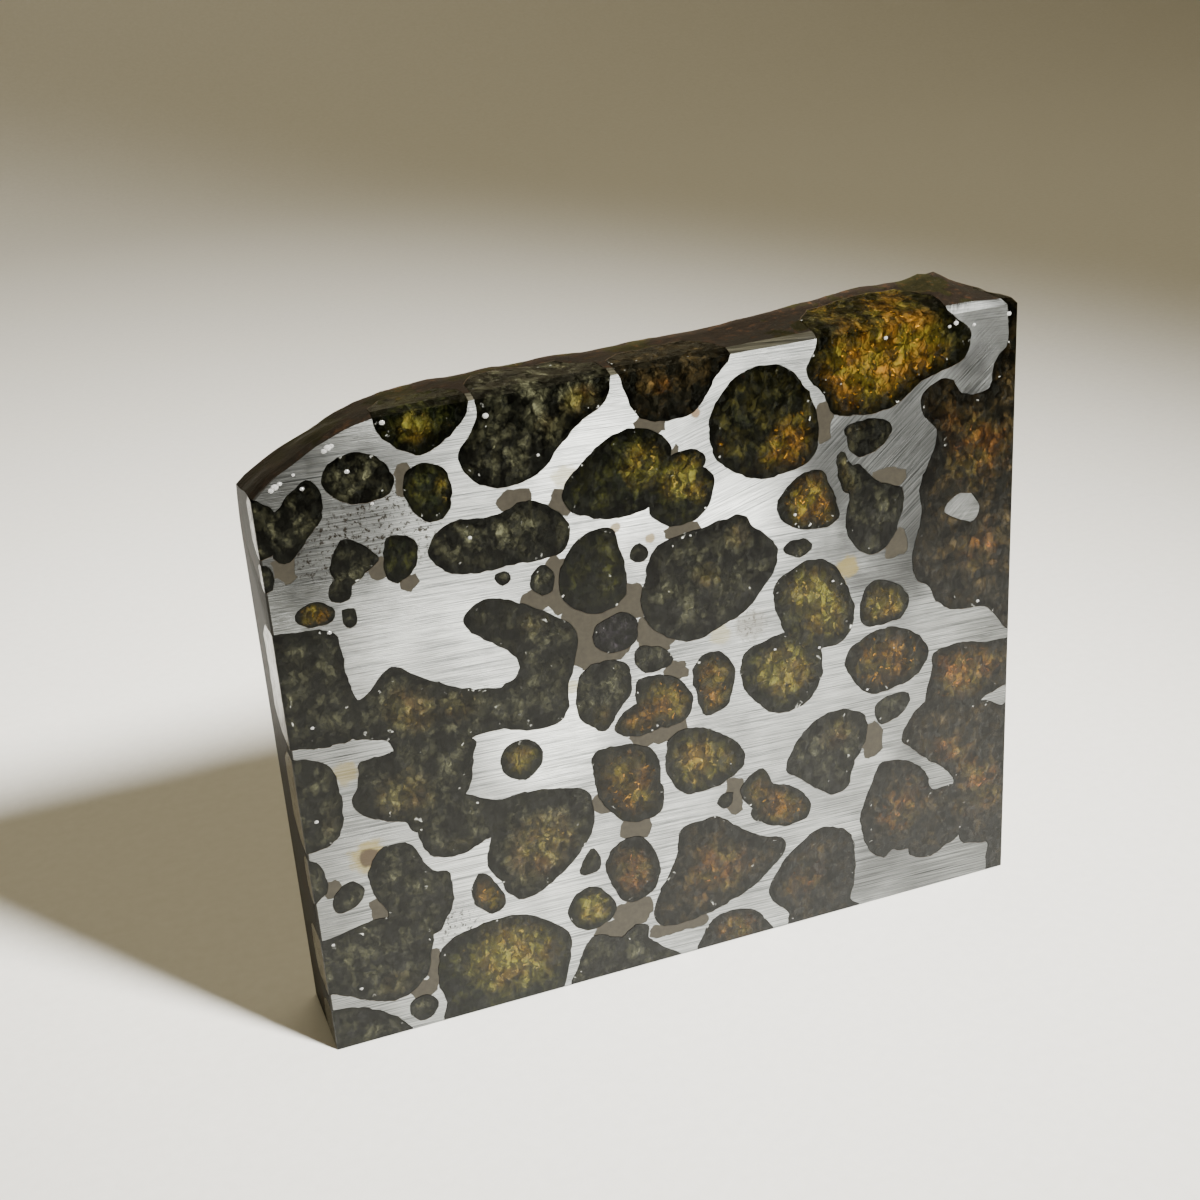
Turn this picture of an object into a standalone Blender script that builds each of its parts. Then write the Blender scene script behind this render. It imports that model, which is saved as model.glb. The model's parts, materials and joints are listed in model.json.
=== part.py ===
# Pallasite meteorite end cut: a sawn slab of nickel-iron with olivine crystals set in its polished face.
# Metres, +Z up. The polished face looks along -Y, and the slab stands on its sawn bottom edge.
# The origin is the centre of the base of the slab's bounding box.
import math

import bmesh
import bpy
from mathutils import Vector, noise

MM = 0.001

# The slab, in millimetres
FACE_WIDTH = 65.0
SLAB_DEPTH = 10.6
EDGE_DEPTH = 8.8
TOP_ROUNDING = 1.5
TOP_ROUNDING_REACH = 5.0
CRUST_LUMP = 0.8
CRUST_LUMP_LENGTH = 8.0
# Where the back's dome begins and how much of a half wave it covers, from the base to the top
DOME_START = 0.12
DOME_SPAN = 0.76
SLAB_CUTS = (18, 3, 13)
FLAT_WITHIN = 0.2  # degrees between faces that are joined into one
# Height of the front crease and of the crusted top's back edge, as (place across the face, height)
FRONT_CREASE = [(0, 50.3), (1.3, 51.5), (3.5, 52.6), (5.2, 53.6), (8, 54.7), (10, 55.1), (65, 55.2)]
BACK_EDGE = [
    (0, 49.0), (4, 51.6), (8, 53.2), (12, 54.5), (16, 54.9), (39, 55.0), (44, 55.6), (50, 56.2),
    (55, 56.6), (58.5, 57.1), (61, 57.3), (62.2, 56.3), (65, 54.8),
]
BACK_EDGE_DEPTH = 9.0

# The crystals, in millimetres
SEAT_GAP = 0.3
FACET_LENGTH = 2.1
DEPTH_SHARE = 0.6
LEAST_DEPTH = 1.1
GREATEST_DEPTH = 6.2
LARGE_GRAIN = 4.0
WAIST = 0.95  # share of the outline's width at the waist
WAIST_DEPTH = 0.55  # share of the grain's depth
TOE = 0.6  # share of the outline's width at the toe
OVERSHOOT = 1.0
LEAST_STEP = 0.62  # share of the facet length between neighbours on an outline
LEAST_CLOSING_STEP = 0.4  # the same where the outline closes
LEAST_STRETCH = 0.6  # limits how far a sharp corner moves when an outline grows

# Colour, roughness and metallic value of each material
FINISHES = {
    "nickel_iron": ((0.56, 0.57, 0.56), 0.32, 1.0),
    "olivine_black": ((0.020, 0.019, 0.014), 0.18, 0.0),
    "olivine_green": ((0.105, 0.080, 0.020), 0.18, 0.0),
    "olivine_amber": ((0.330, 0.170, 0.025), 0.18, 0.0),
    "olivine_brown": ((0.090, 0.035, 0.015), 0.20, 0.0),
}

# Each crystal: its material and the outlines of the grains that have grown together in it.
# An outline is (place across the face, height above the base), and runs past the slab where the saw
# or the outer surface cuts the grain.
CRYSTALS = {
    "olivine_top_left_pair": ("olivine_black", [
        [(4.3, 51.2), (5.2, 49.9), (5.0, 48.1), (3.7, 46.5), (2.2, 45.0), (1.1, 45.6), (1.0, 48.1), (2.4, 49.9)],
        [(-1, 50.4), (0.7, 50.1), (1.6, 49.2), (1.8, 47.6), (1.2, 46.0), (-1, 45.9)],
    ]),
    "olivine_left_edge_chip": ("olivine_black", [
        [(-1, 45.2), (0.4, 45.0), (0.8, 44.1), (0.5, 43.1), (-1, 42.8)],
    ]),
    "olivine_upper_left_oval": ("olivine_black", [
        [(5.4, 50.8), (6.1, 52.1), (7.9, 52.7), (9.5, 52.2), (10.6, 51.0), (10.8, 49.7), (10.0, 48.8),
         (7.4, 48.7), (6.1, 49.6)],
    ]),
    "olivine_upper_left_round": ("olivine_green", [
        [(12.1, 50.6), (13.8, 50.7), (15.0, 49.8), (15.2, 47.7), (14.6, 46.3), (13.2, 46.1), (12.1, 47.1),
         (11.5, 48.9)],
    ]),
    "olivine_top_edge_left": ("olivine_green", [
        [(9.7, 58), (9.9, 55.0), (10.1, 53.9), (11.2, 52.6), (13.2, 51.6), (15.0, 52.3), (16.6, 53.6),
         (17.2, 55.0), (17.0, 58)],
    ]),
    "olivine_top_edge_large": ("olivine_black", [
        [(18.0, 58), (17.9, 54.6), (17.4, 52.8), (16.1, 51.0), (16.7, 49.2), (18.2, 48.0), (20.2, 47.7),
         (22.5, 48.5), (24.0, 50.0), (26.2, 52.0), (28.2, 53.2), (28.7, 55.0), (28.3, 58)],
    ]),
    "olivine_left_wedge": ("olivine_black", [
        [(6.3, 45.9), (7.9, 45.2), (9.0, 43.9), (7.8, 42.9), (6.3, 42.0), (5.4, 42.6), (5.2, 44.2)],
        [(5.3, 42.9), (6.5, 42.9), (6.5, 41.4), (5.6, 40.9), (4.8, 41.5)],
    ]),
    "olivine_left_oval": ("olivine_green", [
        [(9.8, 45.3), (11.3, 45.2), (12.1, 44.4), (11.7, 42.7), (10.5, 41.6), (9.5, 42.0), (9.3, 43.4)],
    ]),
    "olivine_upper_long": ("olivine_black", [
        [(12.9, 43.7), (13.6, 44.9), (15.3, 45.7), (18.3, 45.5), (21.0, 46.2), (23.1, 45.3), (24.4, 43.6),
         (24.2, 42.0), (23.2, 41.2), (20.0, 41.1), (15.8, 41.1), (13.6, 42.1)],
    ]),
    "olivine_upper_speck": ("olivine_black", [
        [(18.0, 40.6), (19.1, 40.6), (19.2, 39.9), (18.5, 39.5), (18.1, 39.9)],
    ]),
    "olivine_left_amber": ("olivine_amber", [
        [(3.2, 41.3), (4.3, 41.1), (5.0, 40.3), (4.6, 39.4), (2.6, 39.5), (2.0, 40.6)],
    ]),
    "olivine_left_speck": ("olivine_black", [
        [(5.7, 40.2), (6.5, 40.2), (6.7, 39.3), (6.1, 38.6), (5.6, 39.1)],
    ]),
    "olivine_left_mass": ("olivine_black", [
        [(-1, 39.2), (1.5, 39.2), (4.5, 38.7), (5.1, 37.0), (5.2, 35.0), (5.6, 33.0), (6.2, 31.0),
         (5.3, 29.2), (2.7, 28.8), (-1, 29.1)],
        [(5.0, 32.2), (6.4, 32.4), (8.0, 34.0), (9.2, 34.5), (10.9, 33.2), (12.5, 32.3), (15.0, 31.1),
         (17.6, 30.6), (19.0, 30.2), (19.5, 27.4), (17.2, 26.9), (15.0, 26.8), (12.0, 25.6), (8.6, 26.0),
         (8.0, 27.9), (6.6, 28.6), (4.8, 29.4)],
        [(17.6, 30.6), (18.9, 31.2), (19.3, 32.4), (18.4, 33.9), (16.6, 35.2), (15.2, 36.6), (15.4, 37.9),
         (16.9, 38.6), (18.6, 38.3), (20.7, 37.2), (23.0, 35.6), (24.2, 34.6), (24.2, 32.2), (23.3, 29.5),
         (23.1, 27.3), (22.0, 26.2), (19.8, 26.2), (18.0, 26.7), (16.5, 28.0)],
        [(5.3, 26.7), (5.0, 25.0), (4.3, 23.4), (5.0, 22.0), (6.6, 21.1), (8.3, 20.4), (9.5, 19.2),
         (12.6, 20.5), (14.2, 22.7), (14.6, 25.0), (14.8, 26.6), (11.0, 27.6), (7.4, 27.0)],
        [(9.3, 20.0), (9.4, 18.4), (10.1, 16.8), (11.5, 16.2), (13.3, 16.2), (15.6, 17.2), (17.5, 18.6),
         (17.6, 20.2), (16.1, 20.4), (14.5, 21.2), (12.5, 22.0), (10.0, 21.6)],
        [(17.0, 20.2), (19.5, 20.4), (22.4, 19.9), (24.2, 19.1), (24.6, 17.5), (24.5, 15.6), (23.5, 13.9),
         (21.4, 11.8), (18.5, 10.2), (16.8, 10.7), (15.9, 12.4), (14.9, 14.3), (15.2, 16.2), (16.0, 18.5)],
    ]),
    "olivine_left_edge_oval": ("olivine_black", [
        [(-1, 28.4), (1.5, 28.2), (2.9, 27.0), (3.4, 24.5), (3.2, 21.5), (2.0, 20.0), (-1, 19.7)],
    ]),
    "olivine_left_round": ("olivine_green", [
        [(16.9, 24.0), (17.6, 25.1), (18.7, 25.5), (19.8, 25.1), (20.6, 23.9), (20.0, 22.4), (18.9, 21.7),
         (17.4, 22.4)],
    ]),
    "olivine_middle_shield": ("olivine_green", [
        [(25.1, 42.1), (26.5, 42.6), (28.0, 42.4), (28.6, 40.5), (29.0, 38.0), (28.6, 36.2), (26.8, 35.3),
         (25.0, 35.8), (23.5, 37.2), (23.3, 39.2), (24.1, 41.0)],
    ]),
    "olivine_middle_chip": ("olivine_black", [
        [(21.8, 40.6), (22.6, 40.1), (22.8, 38.6), (22.1, 37.9), (21.1, 38.4), (20.9, 39.6)],
    ]),
    "olivine_centre_large": ("olivine_black", [
        [(32.9, 40.5), (36.2, 41.0), (39.3, 41.4), (40.4, 40.1), (42.4, 38.0), (42.2, 36.0), (41.2, 34.6),
         (39.5, 32.8), (37.0, 31.7), (35.0, 31.0), (32.8, 31.5), (30.9, 33.0), (30.1, 35.3), (30.6, 37.5),
         (31.4, 39.8)],
    ]),
    "olivine_centre_speck": ("olivine_black", [
        [(29.6, 40.4), (30.3, 40.7), (30.9, 40.2), (30.8, 39.4), (30.2, 39.0), (29.5, 39.5)],
    ]),
    "chromite_grain": ("olivine_black", [
        [(26.0, 34.1), (27.2, 34.8), (28.8, 34.8), (29.6, 33.9), (29.6, 32.6), (29.0, 31.8), (27.4, 31.5),
         (26.1, 32.2), (25.8, 33.3)],
    ]),
    "olivine_centre_left": ("olivine_black", [
        [(24.7, 30.4), (26.6, 30.9), (28.4, 30.3), (28.8, 28.9), (28.6, 27.4), (27.4, 26.0), (26.2, 24.5),
         (24.7, 25.4), (23.9, 26.6), (24.0, 28.8)],
    ]),
    "olivine_centre_small": ("olivine_black", [
        [(30.1, 31.5), (31.6, 31.0), (32.6, 30.0), (32.5, 29.4), (31.6, 29.0), (30.1, 29.1), (29.3, 30.0),
         (29.3, 31.2)],
    ]),
    "olivine_centre_pair": ("olivine_amber", [
        [(29.3, 28.3), (30.7, 28.6), (32.8, 27.9), (34.1, 26.2), (34.0, 24.6), (33.2, 23.6), (31.5, 23.5),
         (30.2, 24.6), (29.2, 26.4), (29.1, 27.5)],
        [(28.3, 26.0), (30.6, 26.4), (31.9, 24.4), (30.9, 23.5), (29.3, 23.2), (27.5, 23.7), (27.1, 24.7),
         (27.8, 25.5)],
    ]),
    "olivine_centre_round": ("olivine_amber", [
        [(34.3, 27.9), (35.2, 29.3), (36.8, 29.4), (38.1, 27.8), (38.0, 25.8), (37.3, 24.2), (35.9, 23.6),
         (35.1, 24.0), (34.7, 25.8)],
    ]),
    "olivine_right_pair": ("olivine_green", [
        [(39.2, 28.7), (40.5, 29.3), (43.0, 29.8), (44.6, 29.4), (46.2, 27.6), (46.4, 25.0), (45.4, 23.1),
         (43.5, 22.2), (41.5, 22.5), (39.9, 24.0), (38.9, 25.6), (38.8, 27.3)],
        [(42.3, 34.6), (43.6, 35.4), (45.2, 36.0), (47.0, 35.7), (48.2, 34.4), (49.2, 32.1), (49.6, 30.4),
         (49.2, 28.6), (48.0, 27.6), (46.6, 27.5), (45.0, 27.9), (43.4, 29.0), (42.6, 30.9), (42.0, 33.0)],
    ]),
    "olivine_lower_middle": ("olivine_amber", [
        [(24.9, 22.3), (26.5, 22.8), (29.3, 22.3), (30.6, 21.0), (30.9, 18.5), (31.0, 16.0), (29.8, 15.0),
         (27.4, 15.3), (25.4, 17.8), (25.0, 19.6)],
    ]),
    "olivine_lower_middle_right": ("olivine_green", [
        [(31.9, 22.2), (33.8, 22.9), (36.0, 22.0), (38.1, 20.3), (38.8, 18.6), (37.9, 17.2), (35.6, 16.4),
         (33.0, 16.6), (31.5, 18.8), (31.6, 20.9)],
    ]),
    "olivine_right_bead": ("olivine_black", [
        [(43.1, 37.4), (43.7, 38.1), (44.9, 38.1), (45.7, 37.4), (45.3, 36.7), (44.2, 36.6)],
    ]),
    "olivine_right_oval": ("olivine_green", [
        [(50.2, 30.8), (51.0, 32.5), (52.4, 32.7), (54.0, 31.8), (54.9, 30.3), (54.0, 28.7), (51.8, 28.5),
         (50.4, 28.9)],
    ]),
    "olivine_right_large_oval": ("olivine_amber", [
        [(49.5, 27.0), (51.0, 27.8), (53.3, 28.0), (55.4, 27.0), (56.7, 25.5), (56.7, 24.0), (55.3, 22.5),
         (53.5, 22.0), (51.0, 22.0), (49.4, 23.8), (48.6, 25.6)],
    ]),
    "olivine_right_chip": ("olivine_black", [
        [(51.5, 20.1), (52.2, 21.0), (54.2, 21.4), (55.0, 20.6), (54.3, 19.3), (52.3, 18.6)],
    ]),
    "olivine_lower_right_bean": ("olivine_black", [
        [(42.8, 16.3), (43.6, 18.5), (45.2, 20.2), (47.6, 21.1), (49.7, 20.5), (50.7, 19.5), (50.6, 17.4),
         (49.4, 15.2), (48.8, 13.2), (47.4, 12.6), (46.0, 13.4), (44.2, 15.0)],
    ]),
    "olivine_lower_right_pair": ("olivine_amber", [
        [(38.3, 15.1), (39.1, 16.6), (40.5, 17.0), (41.3, 15.5), (41.5, 14.0), (39.5, 13.3)],
        [(39.3, 12.4), (41.5, 10.9), (43.5, 10.7), (44.8, 11.2), (44.9, 12.6), (43.7, 14.2), (42.4, 14.9),
         (41.0, 15.2), (39.8, 14.0)],
    ]),
    "olivine_lower_right_speck": ("olivine_black", [
        [(36.1, 14.8), (36.7, 15.6), (37.5, 15.4), (37.4, 14.4), (36.7, 14.0)],
    ]),
    "olivine_lower_large_brown": ("olivine_brown", [
        [(32.6, 13.1), (34.5, 13.4), (36.2, 13.3), (38.0, 11.7), (40.0, 10.3), (42.1, 9.5), (42.4, 8.2),
         (41.0, 6.6), (38.9, 5.1), (35.8, 3.9), (32.5, 3.3), (30.3, 3.6), (29.5, 5.0), (30.2, 7.2),
         (31.7, 9.8), (32.2, 11.8)],
    ]),
    "olivine_bottom_right": ("olivine_brown", [
        [(42.1, 6.7), (43.0, 7.7), (45.5, 9.3), (47.2, 9.2), (48.9, 8.1), (49.4, 5.8), (49.3, 2.8),
         (48.9, 1.0), (50.3, -1), (43.2, -1), (42.5, 1.4), (41.0, 3.1), (40.8, 4.7)],
    ]),
    "olivine_bottom_middle": ("olivine_brown", [
        [(33.7, -1), (34.2, 1.6), (35.4, 2.9), (37.0, 3.2), (38.8, 2.8), (40.1, 1.4), (41.0, -1)],
    ]),
    "olivine_bottom_dark": ("olivine_black", [
        [(21.9, -1), (22.2, 2.0), (23.2, 4.0), (24.3, 4.4), (26.2, 3.6), (27.6, 4.4), (28.8, 4.1),
         (28.9, 2.7), (30.2, 1.4), (31.9, -1)],
    ]),
    "olivine_lower_egg": ("olivine_brown", [
        [(27.1, 13.4), (28.8, 13.3), (29.9, 11.6), (30.3, 9.6), (29.7, 7.8), (28.1, 6.9), (26.7, 7.4),
         (25.8, 9.3), (25.3, 11.0), (25.9, 12.6)],
    ]),
    "olivine_lower_chip": ("olivine_black", [
        [(23.8, 13.1), (24.4, 13.3), (24.9, 12.0), (24.7, 11.2), (23.3, 10.9), (22.9, 11.3), (23.3, 12.3)],
    ]),
    "olivine_lower_oval": ("olivine_green", [
        [(22.4, 9.2), (24.0, 9.5), (25.4, 8.3), (26.0, 6.8), (25.3, 5.7), (23.3, 5.2), (21.9, 6.3),
         (21.6, 7.8)],
    ]),
    "olivine_lower_left_mass": ("olivine_black", [
        [(6.0, 18.4), (7.7, 18.6), (8.7, 18.0), (9.3, 16.6), (10.2, 15.2), (11.5, 14.5), (11.6, 12.0),
         (10.9, 10.4), (9.5, 9.0), (6.0, 10.5), (6.0, 12.4), (5.1, 14.0), (4.8, 16.5)],
        [(-1, 10.6), (1.2, 11.2), (3.5, 11.7), (6.6, 11.8), (9.0, 11.0), (9.5, 9.5), (9.2, 7.4),
         (8.6, 5.4), (7.2, 3.9), (5.2, 3.5), (3.0, 4.3), (0.7, 5.6), (-1, 6.0)],
    ]),
    "olivine_lower_left_oval": ("olivine_black", [
        [(1.5, 14.0), (2.0, 15.5), (3.2, 16.1), (4.2, 15.2), (3.7, 13.9), (2.2, 13.4)],
    ]),
    "olivine_left_edge_small": ("olivine_black", [
        [(-1, 19.0), (0.7, 18.6), (1.2, 17.2), (1.0, 15.6), (-1, 14.5)],
    ]),
    "olivine_lower_left_egg": ("olivine_amber", [
        [(14.4, 13.7), (15.3, 12.6), (16.1, 10.9), (15.8, 9.9), (14.8, 9.5), (13.6, 10.6), (13.2, 12.0),
         (13.7, 13.3)],
    ]),
    "olivine_bottom_large": ("olivine_green", [
        [(9.9, 6.9), (11.0, 8.0), (13.0, 8.6), (16.6, 8.8), (19.0, 7.8), (20.9, 6.2), (21.6, 5.0),
         (21.3, 2.6), (20.4, -0.4), (19.5, -1), (10.3, -1), (9.9, 1.8), (9.5, 4.2)],
    ]),
    "olivine_bottom_small_oval": ("olivine_black", [
        [(6.8, 2.7), (7.5, 3.1), (8.6, 3.0), (9.2, 2.0), (8.7, 0.9), (7.5, 0.7), (6.8, 1.6)],
    ]),
    "olivine_bottom_left": ("olivine_black", [
        [(-1, 3.6), (0.8, 4.0), (2.8, 3.5), (4.6, 2.4), (5.9, 1.2), (6.4, -1), (-1, -1)],
    ]),
    "olivine_top_edge_red": ("olivine_brown", [
        [(29.4, 58), (29.7, 54.4), (30.3, 52.4), (31.3, 51.1), (33.0, 50.7), (35.2, 50.8), (36.6, 52.0),
         (37.6, 53.6), (38.8, 55.0), (39.0, 58)],
    ]),
    "olivine_upper_middle": ("olivine_green", [
        [(24.3, 46.8), (26.0, 48.5), (28.0, 50.0), (30.0, 50.5), (31.8, 50.1), (33.2, 49.0), (33.4, 47.2),
         (32.8, 45.5), (31.5, 43.9), (29.5, 43.3), (27.2, 43.5), (25.2, 44.3), (24.3, 45.3)],
        [(32.8, 47.2), (34.0, 47.8), (35.2, 47.9), (36.2, 47.4), (36.3, 46.4), (34.5, 45.2), (32.6, 45.9)],
        [(31.3, 43.4), (31.7, 45.6), (34.0, 46.4), (36.0, 46.2), (37.0, 45.2), (36.8, 43.6), (35.8, 42.1),
         (34.4, 41.6), (32.8, 41.7), (31.8, 42.6)],
    ]),
    "olivine_upper_golden": ("olivine_amber", [
        [(36.9, 48.0), (36.9, 50.0), (38.0, 52.0), (40.0, 53.5), (42.8, 53.6), (44.6, 52.4), (46.1, 49.8),
         (46.5, 47.3), (45.9, 45.2), (44.2, 44.4), (41.0, 44.2), (38.7, 45.4), (37.4, 46.5)],
    ]),
    "olivine_top_edge_amber": ("olivine_amber", [
        [(45.5, 52.5), (46.5, 54.8), (46.8, 59), (58.9, 59), (58.8, 55.4), (60.2, 54.0), (60.6, 52.8),
         (60.0, 51.3), (58.5, 50.7), (56.0, 49.9), (53.5, 48.3), (51.0, 48.0), (47.9, 48.6), (47.1, 50.3)],
    ]),
    "olivine_upper_right_chip": ("olivine_black", [
        [(49.1, 47.3), (52.1, 47.4), (53.3, 46.3), (52.2, 45.0), (50.6, 44.4), (49.4, 45.1), (49.1, 46.3)],
    ]),
    "olivine_right_amber": ("olivine_amber", [
        [(45.2, 43.9), (46.5, 43.9), (47.3, 42.8), (48.0, 40.8), (48.2, 39.4), (47.2, 38.7), (45.7, 38.8),
         (43.9, 39.4), (42.8, 40.5), (42.7, 42.0), (44.1, 43.4)],
    ]),
    "olivine_right_dark_drop": ("olivine_black", [
        [(48.2, 44.9), (48.8, 45.1), (49.2, 44.2), (50.0, 43.0), (50.5, 41.4), (48.9, 41.4), (48.2, 43.4)],
        [(49.7, 43.8), (50.8, 43.1), (51.7, 42.0), (53.3, 41.3), (54.3, 40.5), (54.2, 38.8), (53.4, 36.6),
         (52.0, 35.4), (50.4, 35.7), (49.2, 37.4), (48.9, 39.0), (49.3, 41.0), (49.1, 42.6)],
    ]),
    "olivine_right_brown_mass": ("olivine_brown", [
        [(56.0, 48.0), (56.5, 49.2), (58.0, 49.8), (59.0, 49.5), (59.6, 48.5), (61.0, 47.9), (62.6, 48.4),
         (63.0, 50.4), (64.2, 51.9), (64.2, 53.5), (64.0, 59), (66, 59), (66, 27.3), (62.5, 28.0),
         (59.5, 28.3), (57.6, 29.6), (57.0, 31.0), (55.6, 32.2), (55.3, 34.5), (56.1, 38.0), (56.0, 40.6),
         (57.2, 43.5), (57.5, 45.5), (56.4, 46.8)],
    ]),
    "olivine_lower_right_mass": ("olivine_brown", [
        [(57.5, 24.4), (59.8, 24.9), (63.0, 24.3), (66, 23.9), (66, 20.3), (62.9, 18.9), (60.0, 17.4),
         (56.8, 19.5), (57.0, 21.5), (57.3, 23.0)],
        [(55.2, 18.5), (54.3, 16.5), (55.4, 15.2), (57.1, 13.6), (59.0, 12.0), (59.8, 10.6), (59.2, 9.7),
         (62.0, 8.0), (66, 8.2), (66, 18.0), (64.6, 17.4), (63.0, 18.3), (60.0, 18.9), (57.0, 19.9)],
        [(52.2, 14.6), (53.8, 14.5), (55.6, 13.6), (56.9, 12.0), (57.4, 10.4), (59.6, 10.3), (60.4, 8.0),
         (58.0, 5.0), (55.0, 4.7), (53.2, 5.0), (52.4, 4.5), (51.0, 5.6), (50.2, 7.8), (50.1, 9.8),
         (51.0, 12.2), (51.7, 13.8)],
        [(55.0, 4.3), (57.0, 3.3), (59.0, 4.0), (60.4, 4.8), (62.0, 6.5), (60.0, 9.3), (56.0, 7.4)],
        [(60.4, 4.4), (62.1, 3.4), (63.4, 3.0), (63.3, 1.4), (63.7, -1), (66, -1), (66, 9.6), (61.2, 9.0)],
    ]),
}
# A metal island inside a crystal, left standing in its pocket
ISLANDS = {
    "olivine_right_brown_mass": [(58.3, 38.0), (59.5, 39.2), (61.0, 39.0), (61.8, 37.5), (61.2, 36.4), (59.9, 36.8)],
}


def clear_scene():
    for item in list(bpy.data.objects):
        bpy.data.objects.remove(item, do_unlink=True)


def make_collection(name):
    collection = bpy.data.collections.new(name)
    bpy.context.scene.collection.children.link(collection)
    return collection


def make_material(name):
    colour, roughness, metallic = FINISHES[name]
    material = bpy.data.materials.new(name)
    material.use_nodes = True
    shader = material.node_tree.nodes["Principled BSDF"]
    shader.inputs["Base Color"].default_value = (*colour, 1.0)
    shader.inputs["Roughness"].default_value = roughness
    shader.inputs["Metallic"].default_value = metallic
    return material


def add_object(name, bm, collection):
    bmesh.ops.recalc_face_normals(bm, faces=bm.faces)
    mesh = bpy.data.meshes.new(name)
    bm.to_mesh(mesh)
    bm.free()
    obj = bpy.data.objects.new(name, mesh)
    collection.objects.link(obj)
    return obj


def place(across, inward, height):
    """A point of the model from its place across the face, into the slab and above the base, in mm."""
    return Vector((across - FACE_WIDTH / 2, inward - SLAB_DEPTH / 2, height)) * MM


def read_profile(profile, across):
    for (x0, z0), (x1, z1) in zip(profile, profile[1:]):
        if across <= x1:
            return z0 + (z1 - z0) * max(across - x0, 0.0) / (x1 - x0)
    return profile[-1][1]


def slab_top(across, inward):
    """Height of the top surface, from the front crease back to the crusted edge."""
    front = read_profile(FRONT_CREASE, across)
    back = read_profile(BACK_EDGE, across)
    share = min(inward / BACK_EDGE_DEPTH, 1.0)
    return front + (back - front) * share


def slab_back(across, height):
    """How far back the crusted outer surface lies: a gentle dome with low lumps."""
    u = across / FACE_WIDTH
    top = read_profile(BACK_EDGE, across)
    w = min(height / top, 1.0)
    rise = math.sin(math.pi * u) * math.sin(math.pi * (DOME_START + DOME_SPAN * w))
    dome = (SLAB_DEPTH - EDGE_DEPTH) * rise
    spot = Vector((across, height, 0)) / CRUST_LUMP_LENGTH
    lumps = CRUST_LUMP * noise.noise(spot) * math.sin(math.pi * u)
    near_top = max(0.0, (height - top + TOP_ROUNDING_REACH) / TOP_ROUNDING_REACH)
    return EDGE_DEPTH + dome + lumps - TOP_ROUNDING * near_top**2


def build_slab(collection):
    """The whole slab before the pockets: a gridded block shaped to the sawn and crusted faces."""
    bm = bmesh.new()
    bmesh.ops.create_cube(bm, size=1.0)
    for axis, cuts in enumerate(SLAB_CUTS):
        edges = [e for e in bm.edges if abs(e.verts[0].co[axis] - e.verts[1].co[axis]) > 0.5]
        bmesh.ops.subdivide_edges(bm, edges=edges, cuts=cuts, use_grid_fill=True)
    spots = {}
    for vert in bm.verts:
        u, v, w = (vert.co[i] + 0.5 for i in range(3))
        across = u * FACE_WIDTH
        inward = v * slab_back(across, w * read_profile(BACK_EDGE, across))
        spots[vert] = (across, inward, w * slab_top(across, inward))
    deepest = max(inward for across, inward, height in spots.values())
    for vert, (across, inward, height) in spots.items():
        vert.co = place(across, inward * SLAB_DEPTH / deepest, height)
    bmesh.ops.dissolve_limit(bm, angle_limit=math.radians(FLAT_WITHIN), verts=bm.verts, edges=bm.edges)
    bmesh.ops.triangulate(bm, faces=[f for f in bm.faces if len(f.verts) == 4])
    return add_object("slab", bm, collection)


def smooth_outline(points):
    """A closed curve through an outline's points, sampled about every facet length."""
    smooth = []
    count = len(points)
    for i in range(count):
        p0, p1, p2, p3 = (Vector(points[(i + k) % count]) for k in (-1, 0, 1, 2))
        steps = max(1, round((p2 - p1).length / FACET_LENGTH))
        for step in range(steps):
            t = step / steps
            smooth.append(
                0.5 * (2 * p1 + (p2 - p0) * t + (2 * p0 - 5 * p1 + 4 * p2 - p3) * t * t
                       + (3 * p1 - p0 - 3 * p2 + p3) * t**3)
            )
    return thin_outline(smooth)


def thin_outline(points):
    """Drops points that stand closer than the facet length allows."""
    kept = [points[0]]
    for point in points[1:]:
        if (point - kept[-1]).length > FACET_LENGTH * LEAST_STEP:
            kept.append(point)
    if (kept[-1] - kept[0]).length < FACET_LENGTH * LEAST_CLOSING_STEP and len(kept) > 4:
        kept.pop()
    return kept if len(kept) > 4 else points


def outline_area(points):
    pairs = zip(points, points[1:] + points[:1])
    return 0.5 * sum(a.x * b.y - b.x * a.y for a, b in pairs)


def grow_outline(points, distance):
    """Moves an outline outwards by a distance, or inwards where it is negative."""
    turn = -1.0 if outline_area(points) > 0 else 1.0
    grown = []
    for i, point in enumerate(points):
        before = (point - points[i - 1]).normalized()
        after = (points[(i + 1) % len(points)] - point).normalized()
        along = (before + after).normalized()
        outward = Vector((-along.y, along.x)) * turn
        stretch = max(LEAST_STRETCH, along.dot(after))
        grown.append(point + outward * distance / stretch)
    return grown


def grain(name, points, growth, collection):
    """One rounded grain: its outline at the face, narrowing to a blunt toe inside the metal."""
    outline = smooth_outline(points)
    width = math.sqrt(4 * abs(outline_area(outline)) / math.pi)
    depth = min(max(width * DEPTH_SHARE, LEAST_DEPTH), GREATEST_DEPTH) + growth
    outline = grow_outline(outline, growth)
    centre = sum(outline, Vector((0, 0))) / len(outline)
    sections = [(-OVERSHOOT, 1.0), (0.0, 1.0), (depth, TOE)]
    if width > LARGE_GRAIN:
        sections.insert(2, (depth * WAIST_DEPTH, WAIST))
    bm = bmesh.new()
    rings = []
    for inward, share in sections:
        ring = [centre + (p - centre) * share for p in outline]
        rings.append([bm.verts.new(place(p.x, inward, p.y)) for p in ring])
    bm.faces.new(rings[0])
    bm.faces.new(rings[-1])
    for ring, deeper in zip(rings, rings[1:]):
        for i in range(len(ring)):
            bm.faces.new((ring[i - 1], ring[i], deeper[i], deeper[i - 1]))
    return add_object(name, bm, collection)


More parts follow.
